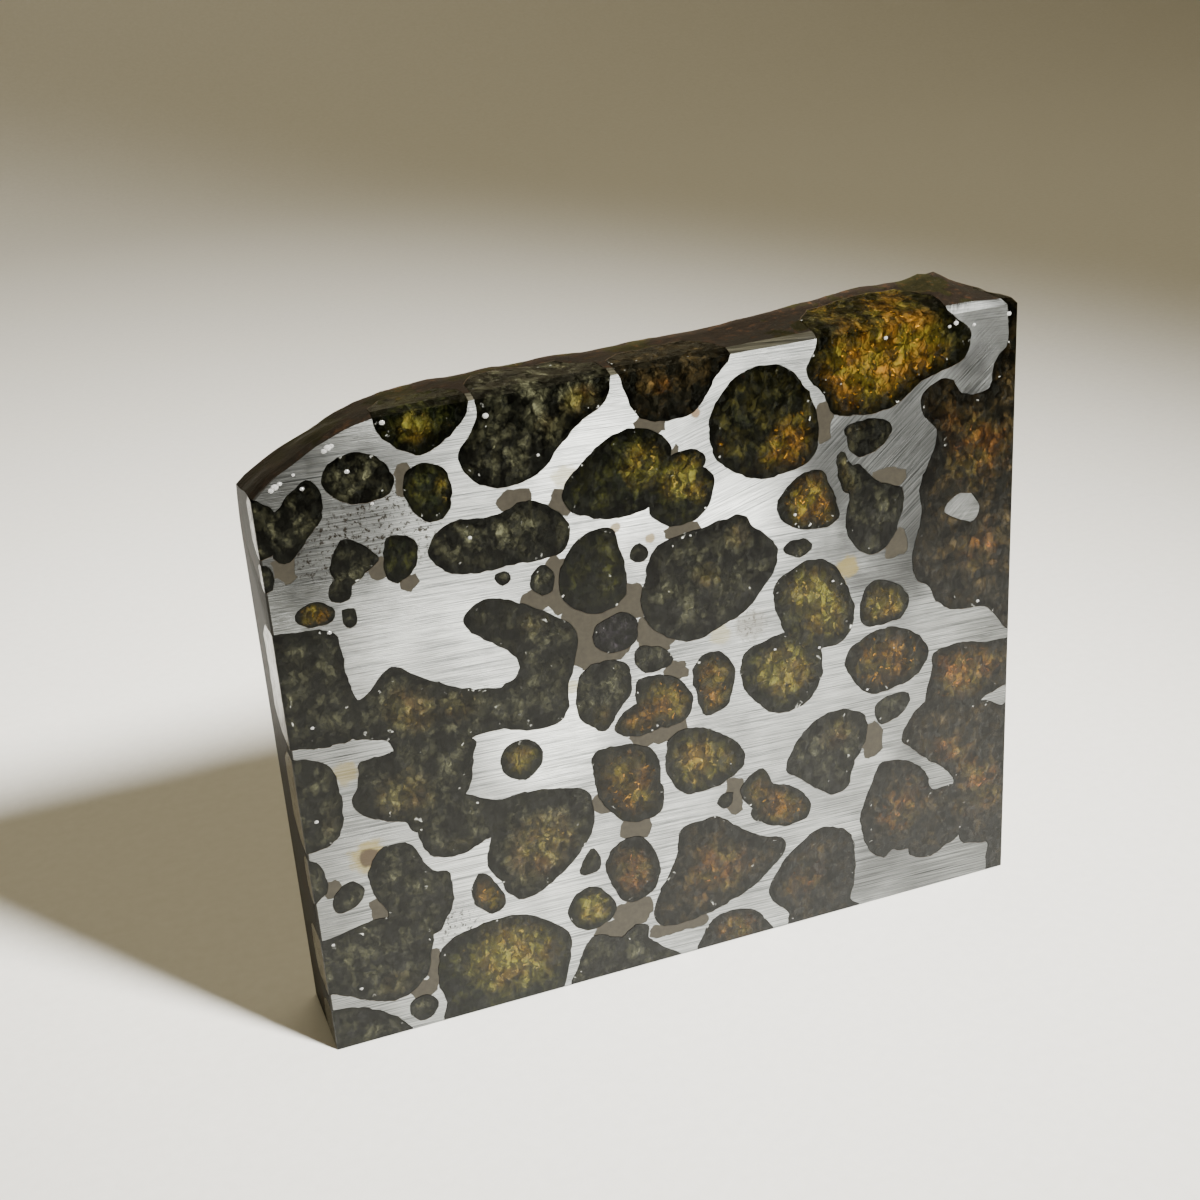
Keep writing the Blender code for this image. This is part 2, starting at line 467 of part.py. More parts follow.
def combine(target, tool, operation):
    """Joins, cuts or keeps what two solids share, and leaves the result in the target."""
    modifier = target.modifiers.new(operation.lower(), "BOOLEAN")
    modifier.operation = operation
    modifier.solver = "EXACT"
    modifier.object = tool
    bpy.context.view_layer.update()
    evaluated = target.evaluated_get(bpy.context.evaluated_depsgraph_get())
    mesh = bpy.data.meshes.new_from_object(evaluated)
    target.modifiers.clear()
    target.data = mesh


def crystal_body(name, outlines, growth, collection):
    """A crystal, or with a growth its pocket: all its grains in one solid, round any metal island."""
    body = grain(name, outlines[0], growth, collection)
    for outline in outlines[1:]:
        neighbour = grain("neighbour_grain", outline, growth, collection)
        combine(body, neighbour, "UNION")
        bpy.data.objects.remove(neighbour, do_unlink=True)
    if name.removesuffix("_pocket") in ISLANDS:
        island_outline = ISLANDS[name.removesuffix("_pocket")]
        island = island_pillar(island_outline, growth, collection)
        combine(body, island, "DIFFERENCE")
        bpy.data.objects.remove(island, do_unlink=True)
    return body


def island_pillar(points, growth, collection):
    """The metal left standing inside a crystal's pocket, from the face to behind the crystal."""
    outline = grow_outline([Vector(p) for p in points], -growth)
    bm = bmesh.new()
    front = [bm.verts.new(place(p.x, -2 * OVERSHOOT, p.y)) for p in outline]
    back = [bm.verts.new(place(p.x, GREATEST_DEPTH + 2 * OVERSHOOT, p.y)) for p in outline]
    bm.faces.new(front)
    bm.faces.new(back)
    for i in range(len(front)):
        bm.faces.new((front[i - 1], front[i], back[i], back[i - 1]))
    return add_object("island", bm, collection)


def build():
    clear_scene()
    parts = make_collection("pallasite_end_cut")
    cutters = make_collection("cutters")
    materials = {name: make_material(name) for name in FINISHES}
    slab = build_slab(cutters)
    pockets = make_collection("pockets")

    matrix = bpy.data.objects.new("nickel_iron_matrix", slab.data.copy())
    parts.objects.link(matrix)
    matrix.data.materials.append(materials["nickel_iron"])
    for name, (finish, outlines) in CRYSTALS.items():
        pocket = crystal_body(name + "_pocket", outlines, SEAT_GAP / 2, pockets)
        pocket.hide_render = True
        pocket.display_type = "WIRE"
        crystal = crystal_body(name, outlines, -SEAT_GAP / 2, parts)
        combine(crystal, slab, "INTERSECT")
        crystal.data.materials.clear()
        crystal.data.materials.append(materials[finish])
    hollow = matrix.modifiers.new("pockets", "BOOLEAN")
    hollow.operation = "DIFFERENCE"
    hollow.solver = "EXACT"
    hollow.operand_type = "COLLECTION"
    hollow.collection = pockets
    bpy.data.objects.remove(slab, do_unlink=True)


build()
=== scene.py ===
# Pallasite meteorite end cut: ground and lacquered nickel-iron with olivine crystals set in it
import json
import math
import random

import bmesh
import bpy
import numpy as np
from mathutils import Matrix, Vector, noise

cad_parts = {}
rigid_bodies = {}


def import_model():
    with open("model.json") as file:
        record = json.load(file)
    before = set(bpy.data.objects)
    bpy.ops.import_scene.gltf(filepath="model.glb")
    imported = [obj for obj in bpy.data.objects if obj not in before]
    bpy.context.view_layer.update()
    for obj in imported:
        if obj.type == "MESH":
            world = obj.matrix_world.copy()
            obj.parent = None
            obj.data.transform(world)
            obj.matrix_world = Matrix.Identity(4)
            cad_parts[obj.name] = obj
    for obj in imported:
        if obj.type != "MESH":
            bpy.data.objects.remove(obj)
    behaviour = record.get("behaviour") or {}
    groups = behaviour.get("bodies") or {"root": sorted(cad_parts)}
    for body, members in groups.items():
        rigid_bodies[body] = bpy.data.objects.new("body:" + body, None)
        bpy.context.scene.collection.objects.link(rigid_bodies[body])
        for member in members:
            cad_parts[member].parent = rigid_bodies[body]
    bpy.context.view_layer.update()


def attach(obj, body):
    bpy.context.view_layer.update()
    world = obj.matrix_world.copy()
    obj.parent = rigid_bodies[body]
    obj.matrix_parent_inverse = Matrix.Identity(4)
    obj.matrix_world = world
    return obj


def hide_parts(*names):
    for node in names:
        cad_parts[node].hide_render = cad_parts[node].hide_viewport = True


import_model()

mm = 0.001


def camelName(name):
    head, *rest = name.split("_")
    return head + "".join(word.capitalize() for word in rest)


def linear(hexColour):  # sRGB hex to linear RGBA
    values = [int(hexColour[i:i + 2], 16) / 255 for i in (1, 3, 5)]
    return tuple(v / 12.92 if v <= 0.04045 else ((v + 0.055) / 1.055) ** 2.4 for v in values) + (1.0,)


def addNode(tree, kind, inputs=None, **settings):
    # inputs are values, sockets, or nodes, which give their first output in use
    node = tree.nodes.new(kind)
    for name, value in settings.items():
        setattr(node, name, value)
    for name, value in (inputs or {}).items():
        socket = node.inputs[name]
        if isinstance(name, str):
            socket = next(s for s in node.inputs if s.name == name and s.enabled)
        if isinstance(value, bpy.types.Node):
            value = next(s for s in value.outputs if s.enabled)
        if isinstance(value, bpy.types.NodeSocket):
            tree.links.new(value, socket)
        else:
            socket.default_value = value
    return node


def newMaterial(name, **values):
    # values are the shader's constants, written with spaces left out
    material = bpy.data.materials.new(name)
    material.use_nodes = True
    tree = material.node_tree
    shader = tree.nodes["Principled BSDF"]
    for socket in shader.inputs:
        key = socket.name.replace(" ", "")
        if key[0].lower() + key[1:] in values:
            socket.default_value = values[key[0].lower() + key[1:]]
    return material, tree, shader


def linkShader(tree, shader, **nodes):
    for name, node in nodes.items():
        socket = next(s for s in shader.inputs if s.name.replace(" ", "").lower() == name.lower())
        if isinstance(node, bpy.types.Node):
            node = next(s for s in node.outputs if s.enabled)
        tree.links.new(node, socket)


def addMeshObject(bm, name):
    mesh = bpy.data.meshes.new(name)
    bm.to_mesh(mesh)
    bm.free()
    item = bpy.data.objects.new(name, mesh)
    bpy.context.scene.collection.objects.link(item)
    return item


# the slab, in mm: places are across the face, into the slab and above the base
slab = {
    "faceWidth": 65.0,
    "faceHeight": 55.0,
    "depth": 10.6,          # at its thickest
    "edgeDepth": 8.8,       # at the sawn sides
    "domeStart": 0.12,      # where the back's dome begins, as a share of a half wave
    "domeSpan": 0.76,
    "topRounding": 1.5,     # how far the back leans in towards the top
    "topRoundingReach": 5.0,
    "crustLump": 0.8,
    "crustLumpLength": 8.0,
    "crustPits": 0.35,
    "crustPitLength": 2.6,
    "pitFade": 12,          # pits are full a twelfth of the way from the top and base
    "topWave": 0.35,        # the natural top behind the ground strip
    "topWaveLength": 4.0,
    "topWaveReach": 2.0,
    "topRidge": 0.25,
    "topRidgeLengths": (1.2, 2.5),
    "roughFrom": 58,        # left of this the ridges are worn down to a share of their height
    "wornRidge": 0.3,
    "topProud": 0.15,       # the most that wave and ridges stand up
    "gridCuts": (84, 14, 64),   # across, into the slab and up
    "stripDepth": 1.0,      # the ground strip above the front crease
    "stripRise": 0.35,
    "stripStart": 9.6,      # left of this the top is crust down to the face
    "frontCrease": [(0, 50.3), (1.3, 51.5), (3.5, 52.6), (5.2, 53.6), (8, 54.7), (10, 55.1), (65, 55.2)],
    "backEdge": [(0, 49.0), (4, 51.6), (8, 53.2), (12, 54.5), (16, 54.9), (39, 55.0), (44, 55.6),
                 (50, 56.2), (55, 56.6), (58.5, 57.1), (61, 57.3), (62.2, 56.3), (65, 54.8)],
    "backEdgeDepth": 9.0,   # how far in the top's back edge lies
    "creaseRadius": 0.05,   # the other edges of the face
    "cornerRadius": 1.1,    # the left edge, where the lacquer is thickest
    "smoothBelow": 26,      # degrees: sharper edges of the crust stay sharp
}


def place(across, inward, height):  # mm on the slab to metres in the frame
    return Vector((across - slab["faceWidth"] / 2, inward - slab["depth"] / 2, height)) * mm


def slabCoordinates(tree):  # Object coordinates in mm, counted as place counts them
    return addNode(tree, "ShaderNodeMapping", {
        "Vector": addNode(tree, "ShaderNodeTexCoord").outputs["Object"],
        "Location": (slab["faceWidth"] / 2, slab["depth"] / 2, 0.0),
        "Scale": (1 / mm, 1 / mm, 1 / mm),
    })


def nearSpot(tree, coords, across, height, reach, full=0.5, wobble=None):
    # 1 at the spot on the face, falling to 0 at the reach, in mm
    flat = addNode(tree, "ShaderNodeMapping", {
        "Vector": coords, "Location": (-across, 0.0, -height), "Scale": (1.0, 0.0, 1.0),
    })
    away = addNode(tree, "ShaderNodeVectorMath", {0: flat}, operation="LENGTH")
    shift = 0.0
    if wobble is not None:
        away = addNode(tree, "ShaderNodeMath", {0: wobble, 1: reach, 2: away}, operation="MULTIPLY_ADD")
        shift = reach / 2
    return addNode(tree, "ShaderNodeMapRange", {
        "Value": away, "From Min": reach * full + shift, "From Max": reach + shift,
        "To Min": 1.0, "To Max": 0.0,
    }, interpolation_type="SMOOTHSTEP")


def readProfile(profile, across):
    for (x0, z0), (x1, z1) in zip(profile, profile[1:]):
        if across <= x1:
            return z0 + (z1 - z0) * max(across - x0, 0.0) / (x1 - x0)
    return profile[-1][1]


def slabTop(across, inward):
    front = readProfile(slab["frontCrease"], across)
    back = readProfile(slab["backEdge"], across)
    share = min(inward / slab["backEdgeDepth"], 1.0)
    rise = slab["stripRise"] * min(inward / slab["stripDepth"], 1.0) * (1.0 - share)
    natural = min(max(inward - slab["stripDepth"], 0.0) / slab["topWaveReach"], 1.0)
    waveLength = slab["topWaveLength"]
    ridgeLength, ridgeDepth = slab["topRidgeLengths"]
    waveSpot = Vector((across / waveLength, inward / waveLength, 3.0))
    ridgeSpot = Vector((across / ridgeLength, inward / ridgeDepth, 9.0))
    wave = slab["topWave"] * noise.noise(waveSpot) * natural
    ridges = slab["topRidge"] * noise.noise(ridgeSpot) * natural
    if across < slab["roughFrom"]:
        ridges *= slab["wornRidge"]
    return front + (back - front) * share + rise + min(wave + ridges, slab["topProud"])


def slabBack(across, height):
    u = across / slab["faceWidth"]
    top = readProfile(slab["backEdge"], across)
    w = min(height / top, 1.0)
    arch = math.sin(math.pi * (slab["domeStart"] + slab["domeSpan"] * w))
    dome = (slab["depth"] - slab["edgeDepth"]) * math.sin(math.pi * u) * arch
    lumps = slab["crustLump"] * noise.noise(Vector((across, height, 0)) / slab["crustLumpLength"])
    nearTop = max(0.0, (height - top + slab["topRoundingReach"]) / slab["topRoundingReach"])
    return slab["edgeDepth"] + dome + lumps * math.sin(math.pi * u) - slab["topRounding"] * nearTop ** 2


def buildSlab():
    # the whole slab before its pockets, with the crust's lumps and pits
    bm = bmesh.new()
    bmesh.ops.create_cube(bm, size=1.0)
    for axis, cuts in enumerate(slab["gridCuts"]):
        edges = [e for e in bm.edges if abs(e.verts[0].co[axis] - e.verts[1].co[axis]) > 0.5]
        bmesh.ops.subdivide_edges(bm, edges=edges, cuts=cuts, use_grid_fill=True)
    spots = {}
    for vert in bm.verts:
        u, v, w = (vert.co[i] + 0.5 for i in range(3))
        across = u * slab["faceWidth"]
        inward = v * slabBack(across, w * readProfile(slab["backEdge"], across))
        if v > 0.999:  # pits in the crust, none at the sawn edges
            spot = Vector((across, w * slab["faceHeight"], 7.0)) / slab["crustPitLength"]
            fade = math.sin(math.pi * u)
            fade = fade * min(1.0, (1 - w) * slab["pitFade"]) * min(1.0, w * slab["pitFade"])
            inward -= slab["crustPits"] * (1 + noise.noise(spot)) * fade * 0.5
        spots[vert] = (across, inward, w * slabTop(across, inward))
    deepest = max(spot[1] for spot in spots.values())
    for vert, (across, inward, height) in spots.items():
        vert.co = place(across, inward * slab["depth"] / deepest, height)
    bmesh.ops.recalc_face_normals(bm, faces=bm.faces)
    flat = [f for f in bm.faces if f.normal.z < 0.5 and f.normal.y < 0.5]
    edges = {e for f in flat for e in f.edges}
    bmesh.ops.dissolve_limit(bm, angle_limit=math.radians(0.3), verts=[], edges=list(edges))

    # the lacquered edges, fullest at the left; the crease above the face stays sharp
    def faceEdges(test):
        front = max(bm.faces, key=lambda f: -f.normal.y * f.calc_area())
        return [e for e in front.edges if test(next(f for f in e.link_faces if f is not front).normal)]

    for test, radius in (
        (lambda n: n.x < -0.5, slab["cornerRadius"]),
        (lambda n: n.x > 0.5 or n.z < -0.5, slab["creaseRadius"]),
    ):
        bmesh.ops.bevel(bm, geom=faceEdges(test), offset=radius * mm, affect="EDGES", segments=3,
                        profile=0.5, material=-1, clamp_overlap=True)
    strip = place(slab["stripStart"], slab["stripDepth"], 0)
    for face in bm.faces:
        middle = face.calc_center_median()
        crust = face.normal.y > 0.3 or (face.normal.z > 0.5 and (middle.y > strip.y or middle.x < strip.x))
        sawn = face.normal.y > -0.98 and face.normal.z < 0.5
        face.material_index = 2 if crust else 1 if sawn else 0  # as buildMetal lists the finishes
    return addMeshObject(bm, "slabBlank")


# the ground face: its places are across, height and reach, in mm
brushing = {
    "lineWidth": 0.10,      # a real scratch is finer; drawn as wide as it needs to show
    "lineLength": 9.0,
    "tangentSlope": -0.12,
    # degrees from level, and where that direction takes over
    "turns": [(-2, None), (16, (37.5, 46.5, 9.0)), (40, (56.0, 46.0, 13.0))],
    # painted light on the ground face: below 1 is painted shade where the face would reflect darker
    # surroundings, above 1 a painted highlight where the lamp's stretched highlight falls
    "levels": [(55.0, 43.0, 14.0, 0.22), (62.5, 53.0, 7.0, 0.55), (4.0, 47.5, 10.0, 0.42),
               (60.0, 4.0, 16.0, 0.6), (13.0, 34.0, 10.0, 1.7), (21.0, 25.0, 7.0, 2.2),
               (14.0, 10.0, 12.0, 1.8), (27.0, 46.5, 9.0, 1.9), (38.0, 41.0, 6.0, 1.8),
               (61.0, 31.0, 5.0, 1.3)],
    # where it broke through into pits, each with the share of its reach that is full
    "pitted": [(10.0, 46.4, 5.6, 0.5), (5.0, 45.2, 3.8, 0.4), (11.8, 9.2, 2.8, 0.3),
               (39.8, 31.2, 2.0, 0.3)],
    # stains under the lacquer, with colour and strength
    "stains": [
        (49.0, 34.6, 1.2, "#544808", 0.8), (48.2, 33.4, 0.8, "#5e5210", 0.6),
        (5.0, 18.0, 1.9, "#6a5c14", 0.7), (5.0, 17.9, 1.1, "#2c1e08", 0.95),
        (4.0, 26.2, 1.3, "#62561a", 0.6), (5.8, 25.0, 0.9, "#62561a", 0.5),
        (35.7, 50.8, 0.5, "#46300a", 0.9), (28.3, 42.5, 0.5, "#4e3e0c", 0.8),
        (31.2, 41.0, 0.5, "#4e3e0c", 0.8), (24.4, 47.6, 1.2, "#6a6230", 0.5),
        (37.0, 31.0, 1.2, "#6a6230", 0.4), (23.6, 29.2, 0.7, "#6a6230", 0.5),
        (39.8, 31.2, 1.6, "#504e46", 0.5),
    ],
}


def brushedIron():
    # kamacite ground with a belt, then lacquered: silvery, with fine level scratches that stretch the light
    material, tree, shader = newMaterial(
        "brushedNickelIron", anisotropic=1.0, coatWeight=0.2, coatRoughness=0.05)
    coords = slabCoordinates(tree)
    lines = None
    for angle, region in brushing["turns"]:
        turned = addNode(tree, "ShaderNodeMapping", {
            "Vector": coords, "Rotation": (0.0, math.radians(angle), 0.0),
        })
        stretched = addNode(tree, "ShaderNodeMapping", {
            "Vector": turned, "Scale": (1 / brushing["lineLength"], 0.0, 1 / brushing["lineWidth"]),
        })
        fine = addNode(tree, "ShaderNodeTexNoise", {
            "Vector": stretched, "Scale": 1.0, "Detail": 3.0, "Roughness": 0.7,
        })
        if lines is None:
            lines = fine
        else:
            lines = addNode(tree, "ShaderNodeMix", {
                "Factor": nearSpot(tree, coords, *region), "A": lines, "B": fine,
            })
    cloud = addNode(tree, "ShaderNodeTexNoise", {"Vector": coords, "Scale": 0.14, "Detail": 4.0})
    tone = addNode(tree, "ShaderNodeMapRange", {"Value": lines, "From Min": 0.34, "From Max": 0.60})
    colour = addNode(tree, "ShaderNodeMix", {
        "Factor": tone, "A": linear("#373938"), "B": linear("#939592"),
    }, data_type="RGBA")
    shade = addNode(tree, "ShaderNodeMapRange", {
        "Value": cloud, "From Min": 0.35, "From Max": 0.62, "To Min": 0.62, "To Max": 1.0,
    })
    colour = addNode(tree, "ShaderNodeMix", {
        "Factor": 1.0, "A": colour, "B": shade,
    }, data_type="RGBA", blend_type="MULTIPLY")
    # painted highlight and painted shade, multiplied into the colour spot by spot
    for across, height, reach, level in brushing["levels"]:
        near = nearSpot(tree, coords, across, height, reach, 0.4, cloud)
        colour = addNode(tree, "ShaderNodeMix", {
            "Factor": near, "A": colour, "B": (level, level, level, 1.0),
        }, data_type="RGBA", blend_type="MULTIPLY")
    # pitting where the grinding broke through
    specks = addNode(tree, "ShaderNodeTexNoise", {
        "Vector": coords, "Scale": 2.6, "Detail": 4.0, "Roughness": 0.7,
    })
    pits = addNode(tree, "ShaderNodeMapRange", {
        "Value": specks, "From Min": 0.53, "From Max": 0.60, "To Min": 0.0, "To Max": 0.95,
    })
    for spot in brushing["pitted"]:
        factor = addNode(tree, "ShaderNodeMath", {
            0: nearSpot(tree, coords, *spot), 1: pits,
        }, operation="MULTIPLY")
        colour = addNode(tree, "ShaderNodeMix", {
            "Factor": factor, "A": colour, "B": linear("#1b1712"),
        }, data_type="RGBA")
    dull = addNode(tree, "ShaderNodeTexNoise", {"Vector": coords, "Scale": 1.1, "Detail": 3.0})
    stained = 0.0
    for across, height, radius, hexColour, strength in brushing["stains"]:
        near = nearSpot(tree, coords, across, height, radius, 0.6, dull)
        factor = addNode(tree, "ShaderNodeMath", {0: near, 1: strength}, operation="MULTIPLY")
        colour = addNode(tree, "ShaderNodeMix", {
            "Factor": factor, "A": colour, "B": linear(hexColour),
        }, data_type="RGBA")
        stained = addNode(tree, "ShaderNodeMath", {0: stained, 1: factor}, operation="MAXIMUM")
    metallic = addNode(tree, "ShaderNodeMapRange", {"Value": stained, "To Min": 1.0, "To Max": 0.35})
    rough = addNode(tree, "ShaderNodeMapRange", {
        "Value": lines, "From Min": 0.3, "From Max": 0.7, "To Min": 0.36, "To Max": 0.26,
    })
    bump = addNode(tree, "ShaderNodeBump", {"Height": lines, "Strength": 0.5, "Distance": 0.00006})
    # light stretches across the scratches, so the tangent stands square to them
    tangent = addNode(tree, "ShaderNodeCombineXYZ", {"X": -brushing["tangentSlope"], "Y": 0.0, "Z": 1.0})
    linkShader(
        tree, shader, baseColor=colour, metallic=metallic, roughness=rough, normal=bump, tangent=tangent)
    return material


def sawnIron():
    # the sides and base: sawn, not ground, so a darker grey with upright saw marks under lacquer
    material, tree, shader = newMaterial(
        "sawnNickelIron", metallic=0.6, roughness=0.5, specularTint=(0.15, 0.15, 0.14, 1.0),
        coatWeight=0.06, coatRoughness=0.08)
    coords = slabCoordinates(tree)
    stretched = addNode(tree, "ShaderNodeMapping", {"Vector": coords, "Scale": (3.2, 3.2, 0.12)})
    marks = addNode(tree, "ShaderNodeTexNoise", {"Vector": stretched, "Scale": 1.0, "Detail": 3.0})
    cloud = addNode(tree, "ShaderNodeTexNoise", {"Vector": coords, "Scale": 0.35, "Detail": 5.0})
    colour = addNode(tree, "ShaderNodeMix", {
        "Factor": marks, "A": linear("#191815"), "B": linear("#3a3935"),
    }, data_type="RGBA")
    rust = addNode(tree, "ShaderNodeMapRange", {
        "Value": cloud, "From Min": 0.54, "From Max": 0.66, "To Min": 0.0, "To Max": 0.7,
    })
    colour = addNode(tree, "ShaderNodeMix", {
        "Factor": rust, "A": colour, "B": linear("#3a2a1c"),
    }, data_type="RGBA")
    bump = addNode(tree, "ShaderNodeBump", {"Height": marks, "Strength": 0.4, "Distance": 0.00008})
    linkShader(tree, shader, baseColor=colour, normal=bump)
    return material


def crustFinish():
    # weathered fusion crust under lacquer: brown-black, rusty, with dull iron and old olivine showing
    material, tree, shader = newMaterial(
        "lacqueredCrust", roughness=0.6, specularIORLevel=0.1, specularTint=(0.3, 0.3, 0.28, 1.0),
        coatWeight=0.12, coatRoughness=0.06)
    coords = slabCoordinates(tree)
    broad = addNode(tree, "ShaderNodeTexNoise", {"Vector": coords, "Scale": 0.2, "Detail": 5.0})
    grit = addNode(tree, "ShaderNodeTexNoise", {
        "Vector": coords, "Scale": 1.6, "Detail": 6.0, "Roughness": 0.65,
    })
    bent = addNode(tree, "ShaderNodeTexNoise", {"Vector": coords, "Scale": 0.4, "Detail": 5.0})
    warped = addNode(tree, "ShaderNodeMix", {
        "Factor": 4.5, "A": coords, "B": bent.outputs["Color"],
    }, data_type="RGBA", blend_type="LINEAR_LIGHT", clamp_factor=False)
    cells = addNode(tree, "ShaderNodeTexVoronoi", {"Vector": warped, "Scale": 0.17})
    colour = addNode(tree, "ShaderNodeMix", {
        "Factor": grit, "A": linear("#0b0908"), "B": linear("#231c15"),
    }, data_type="RGBA")
    iron = addNode(tree, "ShaderNodeMapRange", {
        "Value": broad, "From Min": 0.54, "From Max": 0.60, "To Min": 0.0, "To Max": 0.6,
    })
    colour = addNode(tree, "ShaderNodeMix", {
        "Factor": iron, "A": colour, "B": linear("#2a2721"),
    }, data_type="RGBA")
    old = addNode(tree, "ShaderNodeMapRange", {
        "Value": cells, "From Min": 0.34, "From Max": 0.42, "To Min": 0.85, "To Max": 0.0,
    })
    mottle = addNode(tree, "ShaderNodeMix", {
        "Factor": grit, "A": linear("#0b0c07"), "B": linear("#25230f"),
    }, data_type="RGBA")
    colour = addNode(tree, "ShaderNodeMix", {"Factor": old, "A": colour, "B": mottle}, data_type="RGBA")
    rust = addNode(tree, "ShaderNodeMapRange", {
        "Value": grit, "From Min": 0.56, "From Max": 0.7, "To Min": 0.0, "To Max": 0.6,
    })
    colour = addNode(tree, "ShaderNodeMix", {
        "Factor": rust, "A": colour, "B": linear("#3c2615"),
    }, data_type="RGBA")
    # painted light: the crust is painted lighter the further back it lies, standing in for light that the
    # front lamps don't bring to the back
    inward = addNode(tree, "ShaderNodeSeparateXYZ", {"Vector": coords}).outputs["Y"]
    paintedBackLight = addNode(tree, "ShaderNodeMapRange", {
        "Value": inward, "From Min": 6.5, "From Max": 9.5, "To Min": 0.8, "To Max": 3.6,
    })
    colour = addNode(tree, "ShaderNodeMix", {
        "Factor": 1.0, "A": colour, "B": paintedBackLight,
    }, data_type="RGBA", blend_type="MULTIPLY")
    relief = addNode(tree, "ShaderNodeMath", {0: old, 1: -0.2, 2: grit}, operation="MULTIPLY_ADD")
    bump = addNode(tree, "ShaderNodeBump", {"Height": relief, "Strength": 0.6, "Distance": 0.0003})
    linkShader(tree, shader, baseColor=colour, metallic=iron, normal=bump)
    return material


def troiliteFinish():
    # iron sulphide: bronze-grey, duller than the iron and without its scratches
    material, tree, shader = newMaterial(
        "troilite", metallic=0.5, roughness=0.45, coatWeight=0.15, coatRoughness=0.05)
    coords = slabCoordinates(tree)
    grain = addNode(tree, "ShaderNodeTexNoise", {
        "Vector": coords, "Scale": 1.8, "Detail": 6.0, "Roughness": 0.7,
    })
    colour = addNode(tree, "ShaderNodeMix", {
        "Factor": grain, "A": linear("#14130f"), "B": linear("#403b2f"),
    }, data_type="RGBA")
    linkShader(tree, shader, baseColor=colour)
    return material


def pocketFinish():
    # the walls of the pockets: brown stained metal, seen through the crystals and as the line round each
    material, tree, shader = newMaterial("pocketWall", metallic=0.4, roughness=0.6)
    coords = slabCoordinates(tree)
    grain = addNode(tree, "ShaderNodeTexNoise", {"Vector": coords, "Scale": 1.5, "Detail": 3.0})
    colour = addNode(tree, "ShaderNodeMix", {
        "Factor": grain, "A": linear("#17120c"), "B": linear("#54432a"),
    }, data_type="RGBA")
    linkShader(tree, shader, baseColor=colour)
    return material


# the grains, in mm
grains = {
    "seam": 0.04,           # dark line between crystal and metal
    "facetLength": 0.36,
    "raggedness": 0.075,    # how far an outline wanders from its smooth curve
    "raggedLength": 0.8,
    "depthShare": 0.6,
    "leastDepth": 1.1,
    "greatestDepth": 6.2,
    "waist": 0.95,          # share of the width at the waist
    "waistDepth": 0.55,
    "toe": 0.6,             # share of the width at the foot
    "overshoot": 1.0,       # how far a tool stands clear of the face
    "gridStep": 0.8,        # spacing of the points that carry the rim and glow values
    "rimWidth": 2.3,        # the dark rim of a large grain
    "rimShare": 0.75,       # the most of a small grain's half width that its rim takes
    "leastTone": 0.75,      # grains grown together differ in tone
    "greatestTone": 1.25,
    "glowCore": 1.3,        # glow is full within the first 0.3 of its radius
}

